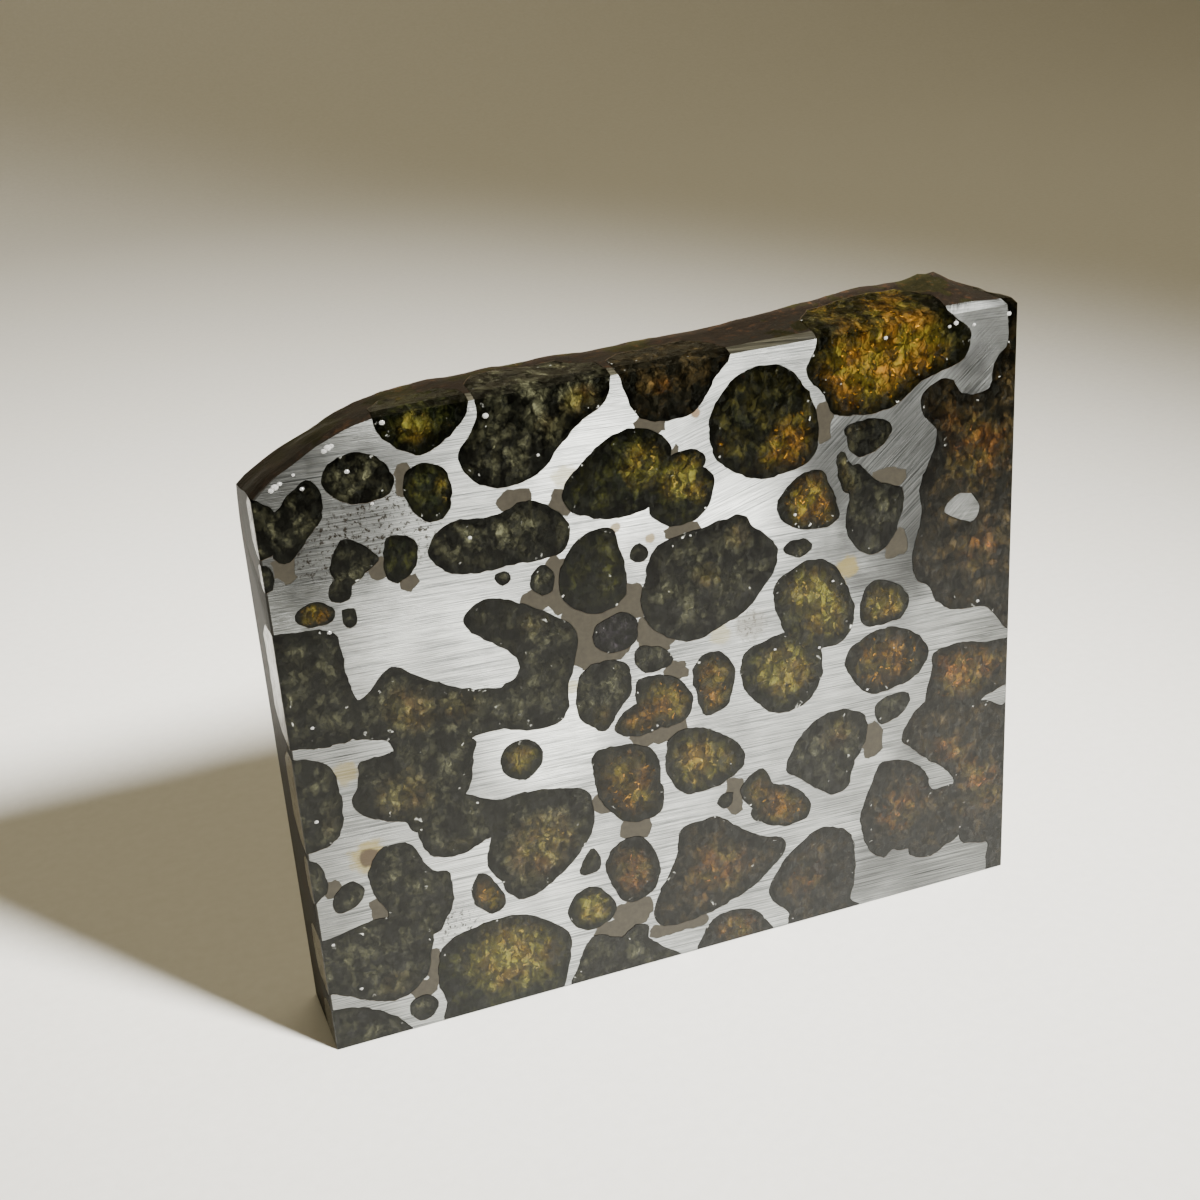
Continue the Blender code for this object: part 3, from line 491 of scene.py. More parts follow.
# each crystal: its kind, and the outlines of the grains grown together in it, as (across, height) in mm
crystals = {
    "olivine_top_left_pair": ("black", [
        [(4.3, 51.2), (5.2, 49.9), (5.0, 48.1), (3.7, 46.5), (2.2, 45.0), (1.1, 45.6), (1.0, 48.1),
         (2.4, 49.9)],
        [(-1, 50.4), (0.7, 50.1), (1.6, 49.2), (1.8, 47.6), (1.2, 46.0), (-1, 45.9)],
    ]),
    "olivine_left_edge_chip": ("black", [
        [(-1, 45.2), (0.4, 45.0), (0.8, 44.1), (0.5, 43.1), (-1, 42.8)],
    ]),
    "olivine_upper_left_oval": ("black", [
        [(5.4, 50.8), (6.1, 52.1), (7.9, 52.7), (9.5, 52.2), (10.6, 51.0), (10.8, 49.7), (10.0, 48.8),
         (7.4, 48.7), (6.1, 49.6)],
    ]),
    "olivine_upper_left_round": ("green", [
        [(12.1, 50.6), (13.8, 50.7), (15.0, 49.8), (15.2, 47.7), (14.6, 46.3), (13.2, 46.1), (12.1, 47.1),
         (11.5, 48.9)],
    ]),
    "olivine_top_edge_left": ("green", [
        [(9.7, 58), (9.9, 55.0), (10.1, 53.9), (11.2, 52.6), (13.2, 51.6), (15.0, 52.3), (16.6, 53.6),
         (17.2, 55.0), (17.0, 58)],
    ]),
    "olivine_top_edge_large": ("black", [
        [(18.0, 58), (17.9, 54.6), (17.4, 52.8), (16.1, 51.0), (16.7, 49.2), (18.2, 48.0), (20.2, 47.7),
         (22.5, 48.5), (24.0, 50.0), (26.2, 52.0), (28.2, 53.2), (28.7, 55.0), (28.3, 58)],
    ]),
    "olivine_left_wedge": ("black", [
        [(6.3, 45.9), (7.9, 45.2), (9.0, 43.9), (7.8, 42.9), (6.3, 42.0), (5.4, 42.6), (5.2, 44.2)],
        [(5.3, 42.9), (6.5, 42.9), (6.5, 41.4), (5.6, 40.9), (4.8, 41.5)],
    ]),
    "olivine_left_oval": ("green", [
        [(9.8, 45.3), (11.3, 45.2), (12.1, 44.4), (11.7, 42.7), (10.5, 41.6), (9.5, 42.0), (9.3, 43.4)],
    ]),
    "olivine_upper_long": ("black", [
        [(12.9, 43.7), (13.6, 44.9), (15.3, 45.7), (18.3, 45.5), (21.0, 46.2), (23.1, 45.3), (24.4, 43.6),
         (24.2, 42.0), (23.2, 41.2), (20.0, 41.1), (15.8, 41.1), (13.6, 42.1)],
    ]),
    "olivine_upper_speck": ("black", [
        [(18.0, 40.6), (19.1, 40.6), (19.2, 39.9), (18.5, 39.5), (18.1, 39.9)],
    ]),
    "olivine_left_amber": ("amber", [
        [(3.2, 41.3), (4.3, 41.1), (5.0, 40.3), (4.6, 39.4), (2.6, 39.5), (2.0, 40.6)],
    ]),
    "olivine_left_speck": ("black", [
        [(5.7, 40.2), (6.5, 40.2), (6.7, 39.3), (6.1, 38.6), (5.6, 39.1)],
    ]),
    "olivine_left_mass": ("black", [
        [(-1, 39.2), (1.5, 39.2), (4.5, 38.7), (5.1, 37.0), (5.2, 35.0), (5.6, 33.0), (6.2, 31.0),
         (5.3, 29.2), (2.7, 28.9), (0.4, 29.3), (-1, 29.4), (-1, 31.5), (-1, 37.5)],
        [(5.0, 32.2), (6.4, 32.4), (8.0, 34.0), (9.2, 34.5), (10.9, 33.2), (12.5, 32.3), (15.0, 31.1),
         (17.6, 30.6), (19.0, 30.2), (19.5, 27.4), (17.2, 26.9), (15.0, 26.8), (12.0, 25.6), (8.6, 26.0),
         (8.0, 27.9), (6.6, 28.6), (4.8, 29.4)],
        [(17.6, 30.6), (18.9, 31.2), (19.3, 32.4), (18.4, 33.9), (16.6, 35.2), (15.2, 36.6), (15.4, 37.9),
         (16.9, 38.6), (18.6, 38.3), (20.7, 37.2), (23.0, 35.6), (24.2, 34.6), (24.2, 32.2), (23.3, 29.5),
         (23.1, 27.3), (22.0, 26.2), (19.8, 26.2), (18.0, 26.7), (16.5, 28.0)],
        [(5.3, 26.7), (5.0, 25.0), (4.3, 23.4), (5.0, 22.0), (6.6, 21.1), (8.3, 20.4), (9.5, 19.2),
         (12.6, 20.5), (14.2, 22.7), (14.6, 25.0), (14.8, 26.6), (11.0, 27.6), (7.4, 27.0)],
        [(9.3, 20.0), (9.4, 18.4), (10.1, 16.8), (11.5, 16.2), (13.3, 16.2), (15.6, 17.2), (17.5, 18.6),
         (17.6, 20.2), (16.1, 20.4), (14.5, 21.2), (12.5, 22.0), (10.0, 21.6)],
        [(17.0, 20.2), (19.5, 20.4), (22.4, 19.9), (24.2, 19.1), (24.6, 17.5), (24.5, 15.6), (23.5, 13.9),
         (21.4, 11.8), (18.5, 10.2), (16.8, 10.7), (15.9, 12.4), (14.9, 14.3), (15.2, 16.2), (16.0, 18.5)],
    ]),
    "olivine_left_edge_oval": ("black", [
        [(-1, 28.3), (0.4, 28.3), (1.5, 28.0), (2.9, 27.0), (3.4, 24.5), (3.2, 21.5), (2.0, 20.0),
         (-1, 19.7), (-1, 21.5), (-1, 26.5)],
    ]),
    "olivine_left_round": ("green", [
        [(16.9, 24.0), (17.6, 25.1), (18.7, 25.5), (19.8, 25.1), (20.6, 23.9), (20.0, 22.4), (18.9, 21.7),
         (17.4, 22.4)],
    ]),
    "olivine_middle_shield": ("green", [
        [(25.1, 42.1), (26.5, 42.6), (28.0, 42.4), (28.6, 40.5), (29.0, 38.0), (28.6, 36.2), (26.8, 35.3),
         (25.0, 35.8), (23.5, 37.2), (23.3, 39.2), (24.1, 41.0)],
    ]),
    "olivine_middle_chip": ("black", [
        [(21.8, 40.6), (22.6, 40.1), (22.8, 38.6), (22.1, 37.9), (21.1, 38.4), (20.9, 39.6)],
    ]),
    "olivine_centre_large": ("black", [
        [(32.9, 40.5), (36.2, 41.0), (39.3, 41.4), (40.4, 40.1), (42.4, 38.0), (42.2, 36.0), (41.2, 34.6),
         (39.5, 32.8), (37.0, 31.7), (35.0, 31.0), (32.8, 31.5), (30.9, 33.0), (30.1, 35.3), (30.6, 37.5),
         (31.4, 39.8)],
    ]),
    "olivine_centre_speck": ("black", [
        [(29.6, 40.4), (30.3, 40.7), (30.9, 40.2), (30.8, 39.4), (30.2, 39.0), (29.5, 39.5)],
    ]),
    "chromite_grain": ("black", [
        [(26.0, 34.1), (27.2, 34.8), (28.8, 34.8), (29.6, 33.9), (29.6, 32.6), (29.0, 31.8), (27.4, 31.5),
         (26.1, 32.2), (25.8, 33.3)],
    ]),
    "olivine_centre_left": ("black", [
        [(24.7, 30.4), (26.6, 30.9), (28.4, 30.3), (28.8, 28.9), (28.6, 27.4), (27.4, 26.0), (26.2, 24.5),
         (24.7, 25.4), (23.9, 26.6), (24.0, 28.8)],
    ]),
    "olivine_centre_small": ("black", [
        [(30.1, 31.5), (31.6, 31.0), (32.6, 30.0), (32.5, 29.4), (31.6, 29.0), (30.1, 29.1), (29.3, 30.0),
         (29.3, 31.2)],
    ]),
    "olivine_centre_pair": ("amber", [
        [(29.3, 28.3), (30.7, 28.6), (32.8, 27.9), (34.1, 26.2), (34.0, 24.6), (33.2, 23.6), (31.5, 23.5),
         (30.2, 24.6), (29.2, 26.4), (29.1, 27.5)],
        [(28.3, 26.0), (30.6, 26.4), (31.9, 24.4), (30.9, 23.5), (29.3, 23.2), (27.5, 23.7), (27.1, 24.7),
         (27.8, 25.5)],
    ]),
    "olivine_centre_round": ("amber", [
        [(34.3, 27.9), (35.2, 29.3), (36.8, 29.4), (38.1, 27.8), (38.0, 25.8), (37.3, 24.2), (35.9, 23.6),
         (35.1, 24.0), (34.7, 25.8)],
    ]),
    "olivine_right_pair": ("green", [
        [(39.2, 28.7), (40.5, 29.3), (43.0, 29.8), (44.6, 29.4), (46.2, 27.6), (46.4, 25.0), (45.4, 23.1),
         (43.5, 22.2), (41.5, 22.5), (39.9, 24.0), (38.9, 25.6), (38.8, 27.3)],
        [(42.3, 34.6), (43.6, 35.4), (45.2, 36.0), (47.0, 35.7), (48.2, 34.4), (49.2, 32.1), (49.6, 30.4),
         (49.2, 28.6), (48.0, 27.6), (46.6, 27.5), (45.0, 27.9), (43.4, 29.0), (42.6, 30.9), (42.0, 33.0)],
    ]),
    "olivine_lower_middle": ("amber", [
        [(24.9, 22.3), (26.5, 22.8), (29.3, 22.3), (30.6, 21.0), (30.9, 18.5), (31.0, 16.0), (29.8, 15.0),
         (27.4, 15.3), (25.4, 17.8), (25.0, 19.6)],
    ]),
    "olivine_lower_middle_right": ("green", [
        [(31.9, 22.2), (33.8, 22.9), (36.0, 22.0), (38.1, 20.3), (38.8, 18.6), (37.9, 17.2), (35.6, 16.4),
         (33.0, 16.6), (31.5, 18.8), (31.6, 20.9)],
    ]),
    "olivine_right_bead": ("black", [
        [(43.1, 37.4), (43.7, 38.1), (44.9, 38.1), (45.7, 37.4), (45.3, 36.7), (44.2, 36.6)],
    ]),
    "olivine_right_oval": ("green", [
        [(50.2, 30.8), (51.0, 32.5), (52.4, 32.7), (54.0, 31.8), (54.9, 30.3), (54.0, 28.7), (51.8, 28.5),
         (50.4, 28.9)],
    ]),
    "olivine_right_large_oval": ("amber", [
        [(49.5, 27.0), (51.0, 27.8), (53.3, 28.0), (55.4, 27.0), (56.7, 25.5), (56.7, 24.0), (55.3, 22.5),
         (53.5, 22.0), (51.0, 22.0), (49.4, 23.8), (48.6, 25.6)],
    ]),
    "olivine_right_chip": ("black", [
        [(51.5, 20.1), (52.2, 21.0), (54.2, 21.4), (55.0, 20.6), (54.3, 19.3), (52.3, 18.6)],
    ]),
    "olivine_lower_right_bean": ("black", [
        [(42.8, 16.3), (43.6, 18.5), (45.2, 20.2), (47.6, 21.1), (49.7, 20.5), (50.7, 19.5), (50.6, 17.4),
         (49.4, 15.2), (48.8, 13.2), (47.4, 12.6), (46.0, 13.4), (44.2, 15.0)],
    ]),
    "olivine_lower_right_pair": ("amber", [
        [(38.3, 15.1), (39.1, 16.6), (40.5, 17.0), (41.3, 15.5), (41.5, 14.0), (39.5, 13.3)],
        [(39.3, 12.4), (41.5, 10.9), (43.5, 10.7), (44.8, 11.2), (44.9, 12.6), (43.7, 14.2), (42.4, 14.9),
         (41.0, 15.2), (39.8, 14.0)],
    ]),
    "olivine_lower_right_speck": ("black", [
        [(36.1, 14.8), (36.7, 15.6), (37.5, 15.4), (37.4, 14.4), (36.7, 14.0)],
    ]),
    "olivine_lower_large_brown": ("brown", [
        [(32.6, 13.1), (34.5, 13.4), (36.2, 13.3), (38.0, 11.7), (40.0, 10.3), (42.1, 9.5), (42.4, 8.2),
         (41.0, 6.6), (38.9, 5.1), (35.8, 3.9), (32.5, 3.3), (30.3, 3.6), (29.5, 5.0), (30.2, 7.2),
         (31.7, 9.8), (32.2, 11.8)],
    ]),
    "olivine_bottom_right": ("brown", [
        [(42.1, 6.7), (43.0, 7.7), (45.5, 9.3), (47.2, 9.2), (48.9, 8.1), (49.4, 5.8), (49.3, 2.8),
         (48.9, 1.0), (50.3, -1), (43.2, -1), (42.5, 1.4), (41.0, 3.1), (40.8, 4.7)],
    ]),
    "olivine_bottom_middle": ("brown", [
        [(33.7, -1), (34.2, 1.6), (35.4, 2.9), (37.0, 3.2), (38.8, 2.8), (40.1, 1.4), (41.0, -1)],
    ]),
    "olivine_bottom_dark": ("black", [
        [(21.9, -1), (22.2, 2.0), (23.2, 4.0), (24.3, 4.4), (26.2, 3.6), (27.6, 4.4), (28.8, 4.1),
         (28.9, 2.7), (30.2, 1.4), (31.9, -1)],
    ]),
    "olivine_lower_egg": ("brown", [
        [(27.1, 13.4), (28.8, 13.3), (29.9, 11.6), (30.3, 9.6), (29.7, 7.8), (28.1, 6.9), (26.7, 7.4),
         (25.8, 9.3), (25.3, 11.0), (25.9, 12.6)],
    ]),
    "olivine_lower_chip": ("black", [
        [(23.8, 13.1), (24.4, 13.3), (24.9, 12.0), (24.7, 11.2), (23.3, 10.9), (22.9, 11.3), (23.3, 12.3)],
    ]),
    "olivine_lower_oval": ("green", [
        [(22.4, 9.2), (24.0, 9.5), (25.4, 8.3), (26.0, 6.8), (25.3, 5.7), (23.3, 5.2), (21.9, 6.3),
         (21.6, 7.8)],
    ]),
    "olivine_lower_left_mass": ("black", [
        [(6.0, 18.4), (7.7, 18.6), (8.7, 18.0), (9.3, 16.6), (10.2, 15.2), (11.5, 14.5), (11.6, 12.0),
         (10.9, 10.4), (9.5, 9.0), (6.0, 10.5), (6.0, 12.4), (5.1, 14.0), (4.8, 16.5)],
        [(-1, 10.6), (1.2, 11.2), (3.5, 11.7), (6.6, 11.8), (9.0, 11.0), (9.5, 9.5), (9.2, 7.4),
         (8.6, 5.4), (7.2, 3.9), (5.2, 3.5), (3.0, 4.3), (0.7, 5.6), (-1, 6.0)],
    ]),
    "olivine_lower_left_oval": ("black", [
        [(1.5, 14.0), (2.0, 15.5), (3.2, 16.1), (4.2, 15.2), (3.7, 13.9), (2.2, 13.4)],
    ]),
    "olivine_left_edge_small": ("black", [
        [(-1, 19.0), (0.7, 18.6), (1.2, 17.2), (1.0, 15.6), (-1, 14.5)],
    ]),
    "olivine_lower_left_egg": ("amber", [
        [(14.4, 13.7), (15.3, 12.6), (16.1, 10.9), (15.8, 9.9), (14.8, 9.5), (13.6, 10.6), (13.2, 12.0),
         (13.7, 13.3)],
    ]),
    "olivine_bottom_large": ("green", [
        [(9.9, 6.9), (11.0, 8.0), (13.0, 8.6), (16.6, 8.8), (19.0, 7.8), (20.9, 6.2), (21.6, 5.0),
         (21.3, 2.6), (20.4, -0.4), (19.5, -1), (10.3, -1), (9.9, 1.8), (9.5, 4.2)],
    ]),
    "olivine_bottom_small_oval": ("black", [
        [(6.8, 2.7), (7.5, 3.1), (8.6, 3.0), (9.2, 2.0), (8.7, 0.9), (7.5, 0.7), (6.8, 1.6)],
    ]),
    "olivine_bottom_left": ("black", [
        [(-1, 3.6), (0.8, 4.0), (2.8, 3.5), (4.6, 2.4), (5.9, 1.2), (6.4, -1), (-1, -1)],
    ]),
    "olivine_top_edge_red": ("brown", [
        [(29.4, 58), (29.7, 54.4), (30.3, 52.4), (31.3, 51.1), (33.0, 50.7), (35.2, 50.8), (36.6, 52.0),
         (37.6, 53.6), (38.8, 55.0), (39.0, 58)],
    ]),
    "olivine_upper_middle": ("green", [
        [(24.3, 46.8), (26.0, 48.5), (28.0, 50.0), (30.0, 50.5), (31.8, 50.1), (33.2, 49.0), (33.4, 47.2),
         (32.8, 45.5), (31.5, 43.9), (29.5, 43.3), (27.2, 43.5), (25.2, 44.3), (24.3, 45.3)],
        [(32.8, 47.2), (34.0, 47.8), (35.2, 47.9), (36.2, 47.4), (36.3, 46.4), (34.5, 45.2), (32.6, 45.9)],
        [(31.3, 43.4), (31.7, 45.6), (34.0, 46.4), (36.0, 46.2), (37.0, 45.2), (36.8, 43.6), (35.8, 42.1),
         (34.4, 41.6), (32.8, 41.7), (31.8, 42.6)],
    ]),
    "olivine_upper_golden": ("amber", [
        [(36.9, 48.0), (36.9, 50.0), (38.0, 52.0), (40.0, 53.5), (42.8, 53.6), (44.6, 52.4), (46.1, 49.8),
         (46.5, 47.3), (45.9, 45.2), (44.2, 44.4), (41.0, 44.2), (38.7, 45.4), (37.4, 46.5)],
    ]),
    "olivine_top_edge_amber": ("amber", [
        [(45.5, 52.5), (46.5, 54.8), (46.8, 59), (58.9, 59), (58.8, 55.4), (60.2, 54.0), (60.6, 52.8),
         (60.0, 51.3), (58.5, 50.7), (56.0, 49.9), (53.5, 48.3), (51.0, 48.0), (47.9, 48.6), (47.1, 50.3)],
    ]),
    "olivine_upper_right_chip": ("black", [
        [(49.1, 47.3), (52.1, 47.4), (53.3, 46.3), (52.2, 45.0), (50.6, 44.4), (49.4, 45.1), (49.1, 46.3)],
    ]),
    "olivine_right_amber": ("amber", [
        [(45.2, 43.9), (46.5, 43.9), (47.3, 42.8), (48.0, 40.8), (48.2, 39.4), (47.2, 38.7), (45.7, 38.8),
         (43.9, 39.4), (42.8, 40.5), (42.7, 42.0), (44.1, 43.4)],
    ]),
    "olivine_right_dark_drop": ("black", [
        [(48.2, 44.9), (48.8, 45.1), (49.2, 44.2), (50.0, 43.0), (50.5, 41.4), (48.9, 41.4), (48.2, 43.4)],
        [(49.7, 43.8), (50.8, 43.1), (51.7, 42.0), (53.3, 41.3), (54.3, 40.5), (54.2, 38.8), (53.4, 36.6),
         (52.0, 35.4), (50.4, 35.7), (49.2, 37.4), (48.9, 39.0), (49.3, 41.0), (49.1, 42.6)],
    ]),
    "olivine_right_brown_mass": ("brown", [
        [(56.0, 48.0), (56.5, 49.2), (58.0, 49.8), (59.0, 49.5), (59.6, 48.5), (61.0, 47.9), (62.6, 48.4),
         (63.0, 50.4), (64.2, 51.9), (64.2, 53.5), (64.0, 59), (66, 59), (66, 27.3), (62.5, 28.0),
         (59.5, 28.3), (57.6, 29.6), (57.0, 31.0), (55.6, 32.2), (55.3, 34.5), (56.1, 38.0), (56.0, 40.6),
         (57.2, 43.5), (57.5, 45.5), (56.4, 46.8)],
    ]),
    "olivine_lower_right_mass": ("brown", [
        [(57.5, 24.4), (59.8, 24.9), (63.0, 24.3), (66, 23.9), (66, 20.3), (62.9, 18.9), (60.0, 17.4),
         (56.8, 19.5), (57.0, 21.5), (57.3, 23.0)],
        [(55.2, 18.5), (54.3, 16.5), (55.4, 15.2), (57.1, 13.6), (59.0, 12.0), (59.8, 10.6), (59.2, 9.7),
         (62.0, 8.0), (66, 8.2), (66, 18.0), (64.6, 17.4), (63.0, 18.3), (60.0, 18.9), (57.0, 19.9)],
        [(52.2, 14.6), (53.8, 14.5), (55.6, 13.6), (56.9, 12.0), (57.4, 10.4), (59.6, 10.3), (60.4, 8.0),
         (58.0, 5.0), (55.0, 4.7), (53.2, 5.0), (52.4, 4.5), (51.0, 5.6), (50.2, 7.8), (50.1, 9.8),
         (51.0, 12.2), (51.7, 13.8)],
        [(55.0, 4.3), (57.0, 3.3), (59.0, 4.0), (60.4, 4.8), (62.0, 6.5), (60.0, 9.3), (56.0, 7.4)],
        [(60.4, 4.4), (62.1, 3.4), (63.4, 3.0), (63.3, 1.4), (63.7, -1), (66, -1), (66, 9.6), (61.2, 9.0)],
    ]),
}

# a metal island inside a crystal, left standing in its pocket
islands = {
    "olivine_right_brown_mass": [(58.3, 38.0), (59.5, 39.2), (61.0, 39.0), (61.8, 37.5), (61.2, 36.4),
                                 (59.9, 36.8)],
}

# painted glow: where light is painted into a crystal as if it were lit from within: across, height, radius,
# strength
glows = [
    (12.9, 53.6, 1.7, 0.8), (15.4, 52.6, 2.4, 0.35), (11.5, 49.0, 2.0, 0.35), (15.3, 48.6, 1.6, 0.8),
    (26.3, 53.4, 1.8, 0.7), (24.0, 52.0, 3.0, 0.3), (3.7, 40.4, 1.5, 1.0), (31.4, 47.4, 2.6, 0.75),
    (34.2, 46.0, 2.4, 0.9), (37.0, 47.4, 1.4, 1.0), (36.4, 44.0, 1.6, 0.7), (45.4, 45.4, 3.8, 1.5),
    (42.4, 44.8, 2.2, 1.0), (50.2, 51.4, 4.4, 1.2), (54.6, 52.6, 4.0, 1.2), (48.6, 49.4, 2.2, 0.9),
    (56.4, 50.4, 2.2, 0.9), (46.4, 41.4, 3.2, 1.2), (45.4, 34.0, 3.4, 0.75), (47.4, 31.0, 3.0, 0.9),
    (52.6, 30.4, 2.6, 1.0), (43.2, 26.6, 3.6, 0.8), (52.6, 25.4, 4.2, 1.1), (60.6, 22.6, 3.6, 1.1),
    (36.3, 26.4, 2.6, 1.1), (32.2, 26.0, 2.6, 1.1), (29.4, 24.6, 1.8, 1.0), (27.8, 18.8, 3.6, 1.1),
    (34.8, 19.6, 3.6, 0.9), (42.4, 12.6, 2.6, 1.1), (40.4, 14.6, 1.6, 0.9), (14.9, 11.4, 2.0, 1.0),
    (16.4, 5.4, 5.0, 0.85), (24.0, 7.6, 2.2, 0.8), (27.6, 10.0, 2.8, 0.8), (20.0, 14.6, 4.6, 0.6),
    (18.6, 23.8, 1.8, 0.7), (58.0, 12.4, 4.2, 0.75), (62.0, 9.4, 3.2, 0.8), (54.0, 9.0, 3.0, 0.6),
    (37.4, 1.8, 2.4, 0.9), (8.4, 22.4, 4.2, 0.45), (10.0, 30.6, 3.4, 0.5), (14.0, 30.0, 2.6, 0.45),
    (61.6, 43.0, 4.6, 0.5), (62.0, 34.0, 4.0, 0.4), (58.0, 46.0, 3.4, 0.45), (36.0, 36.6, 1.8, 0.5),
    (39.0, 40.0, 1.8, 0.55), (24.6, 34.6, 1.8, 0.45), (29.0, 42.0, 1.6, 0.4), (21.0, 36.0, 2.4, 0.4),
    (6.0, 4.0, 3.2, 0.45), (36.0, 8.0, 4.4, 0.5), (44.0, 5.0, 4.0, 0.4), (3.0, 22.0, 2.4, 0.4),
    (31.0, 53.0, 2.0, 0.35), (48.0, 19.0, 2.8, 0.5), (26.0, 25.6, 2.0, 0.5), (12.5, 16.0, 3.0, 0.4),
    (33.0, 53.4, 1.5, 0.4),
]

# each kind of crystal: its dark and plain body, its painted lit core from olive to warm, its painted hot
# spots, the crack spacing in mm, and the light that it takes up on its way through
crystalKinds = {
    "black": {
        "dark": "#070705", "body": "#3c3c2c", "core": "#45401c", "warm": "#3c2a10", "hot": "#a08a48",
        "cell": 1.0, "absorb": "#6a6030", "density": 900.0,
    },
    "green": {
        "dark": "#060803", "body": "#2b2c12", "core": "#464318", "warm": "#483811", "hot": "#b89c48",
        "cell": 0.85, "absorb": "#b0a040", "density": 600.0,
    },
    "amber": {
        "dark": "#0a0b05", "body": "#28250e", "core": "#352e0b", "warm": "#422c0c", "hot": "#d89a2c",
        "cell": 0.95, "absorb": "#e8a030", "density": 350.0,
    },
    "brown": {
        "dark": "#080704", "body": "#2c2414", "core": "#3a3212", "warm": "#44290d", "hot": "#a86a34",
        "cell": 0.8, "absorb": "#a06028", "density": 700.0,
    },
    "chromite": {
        "dark": "#060607", "body": "#262226", "core": "#302a2a", "warm": "#33241e", "hot": "#b0a8b0",
        "cell": 0.5, "absorb": "#302c30", "density": 2000.0,
    },
}


def crystalFinish(kind):
    # fractured olivine under lacquer: glassy, dark at its rim, with a painted glow, and with painted hot
    # spots and glints where its old cracks catch the light
    # the dark tint keeps its leaning crack facets from veiling it in grey
    facts = crystalKinds[kind]
    material, tree, shader = newMaterial(
        kind if kind == "chromite" else "olivine" + kind.capitalize(), roughness=0.16, iOR=1.67,
        specularIORLevel=0.03, specularTint=(0.12, 0.14, 0.10, 1.0), transmissionWeight=0.35,
        coatRoughness=0.03)
    coords = slabCoordinates(tree)
    rim = addNode(tree, "ShaderNodeAttribute", attribute_name="rim").outputs["Fac"]
    glow = addNode(tree, "ShaderNodeAttribute", attribute_name="glow").outputs["Fac"]
    tone = addNode(tree, "ShaderNodeAttribute", attribute_name="tone").outputs["Fac"]
    bent = addNode(tree, "ShaderNodeTexNoise", {"Vector": coords, "Scale": 0.9, "Detail": 4.0})
    warped = addNode(tree, "ShaderNodeMix", {
        "Factor": 0.8, "A": coords, "B": bent.outputs["Color"],
    }, data_type="RGBA", blend_type="LINEAR_LIGHT")
    # upright in the slab, as its cracks run
    upright = addNode(tree, "ShaderNodeMapping", {"Vector": warped, "Scale": (1.25, 1.0, 0.8)})
    facets = addNode(tree, "ShaderNodeTexVoronoi", {"Vector": upright, "Scale": 1 / facts["cell"]})
    cracks = addNode(tree, "ShaderNodeTexVoronoi", {
        "Vector": upright, "Scale": 1 / facts["cell"],
    }, feature="DISTANCE_TO_EDGE")
    cloud = addNode(tree, "ShaderNodeTexNoise", {
        "Vector": coords, "Scale": 0.6, "Detail": 7.0, "Roughness": 0.66,
    })
    fibres = addNode(tree, "ShaderNodeTexNoise", {
        "Vector": addNode(tree, "ShaderNodeMapping", {"Vector": warped, "Scale": (2.2, 1.0, 1.1)}),
        "Scale": 1.0, "Detail": 4.0, "Roughness": 0.6,
    })
    mottled = addNode(tree, "ShaderNodeMapRange", {"Value": cloud, "From Min": 0.46, "From Max": 0.70})
    body = addNode(tree, "ShaderNodeMix", {
        "Factor": mottled, "A": linear(facts["dark"]), "B": linear(facts["body"]),
    }, data_type="RGBA")
    # painted glow: the lit core, painted into the colour, turns from olive to warm brown, broken by darker
    # patches
    drift = addNode(tree, "ShaderNodeTexNoise", {
        "Vector": coords, "Scale": 0.42, "Detail": 4.0, "Roughness": 0.6,
    })
    warmth = addNode(tree, "ShaderNodeMapRange", {"Value": drift, "From Min": 0.42, "From Max": 0.6})
    core = addNode(tree, "ShaderNodeMix", {
        "Factor": warmth, "A": linear(facts["core"]), "B": linear(facts["warm"]),
    }, data_type="RGBA")
    lit = addNode(tree, "ShaderNodeMath", {0: glow, 1: cloud}, operation="MULTIPLY")
    lit = addNode(tree, "ShaderNodeMapRange", {"Value": lit, "From Min": 0.12, "From Max": 0.42})
    deepRim = addNode(tree, "ShaderNodeMath", {0: rim, 1: 0.9}, operation="POWER")
    lit = addNode(tree, "ShaderNodeMath", {0: lit, 1: deepRim}, operation="MULTIPLY")
    body = addNode(tree, "ShaderNodeMix", {"Factor": lit, "A": body, "B": core}, data_type="RGBA")
    # each fracture block has its own shade, with a dark crack round it
    shade = addNode(tree, "ShaderNodeMapRange", {
        "Value": facets.outputs["Color"], "From Min": 0.2, "From Max": 0.85, "To Min": 0.45, "To Max": 1.9,
    })
    crack = addNode(tree, "ShaderNodeMapRange", {
        "Value": cracks, "From Min": 0.0, "From Max": 0.12, "To Min": 0.3, "To Max": 1.0,
    })
    veins = addNode(tree, "ShaderNodeMapRange", {
        "Value": fibres, "From Min": 0.38, "From Max": 0.64, "To Min": 0.3, "To Max": 1.7,
    })
    edge = addNode(tree, "ShaderNodeMapRange", {
        "Value": rim, "From Min": 0.1, "From Max": 0.7, "To Min": 0.2, "To Max": 1.0,
    })
    for factor in (crack, veins, edge, tone):
        shade = addNode(tree, "ShaderNodeMath", {0: shade, 1: factor}, operation="MULTIPLY")
    body = addNode(tree, "ShaderNodeMix", {
        "Factor": 1.0, "A": body, "B": shade,
    }, data_type="RGBA", blend_type="MULTIPLY")
    # painted highlights: hot spots where a crack would throw the light straight back
    flare = addNode(tree, "ShaderNodeTexNoise", {
        "Vector": warped, "Scale": 1.9, "Detail": 3.0, "Roughness": 0.6,
    })
    flare = addNode(tree, "ShaderNodeMapRange", {"Value": flare, "From Min": 0.62, "From Max": 0.80})
    flare = addNode(tree, "ShaderNodeMath", {0: flare, 1: lit}, operation="MULTIPLY")
    body = addNode(tree, "ShaderNodeMix", {
        "Factor": flare, "A": body, "B": linear(facts["hot"]),
    }, data_type="RGBA")
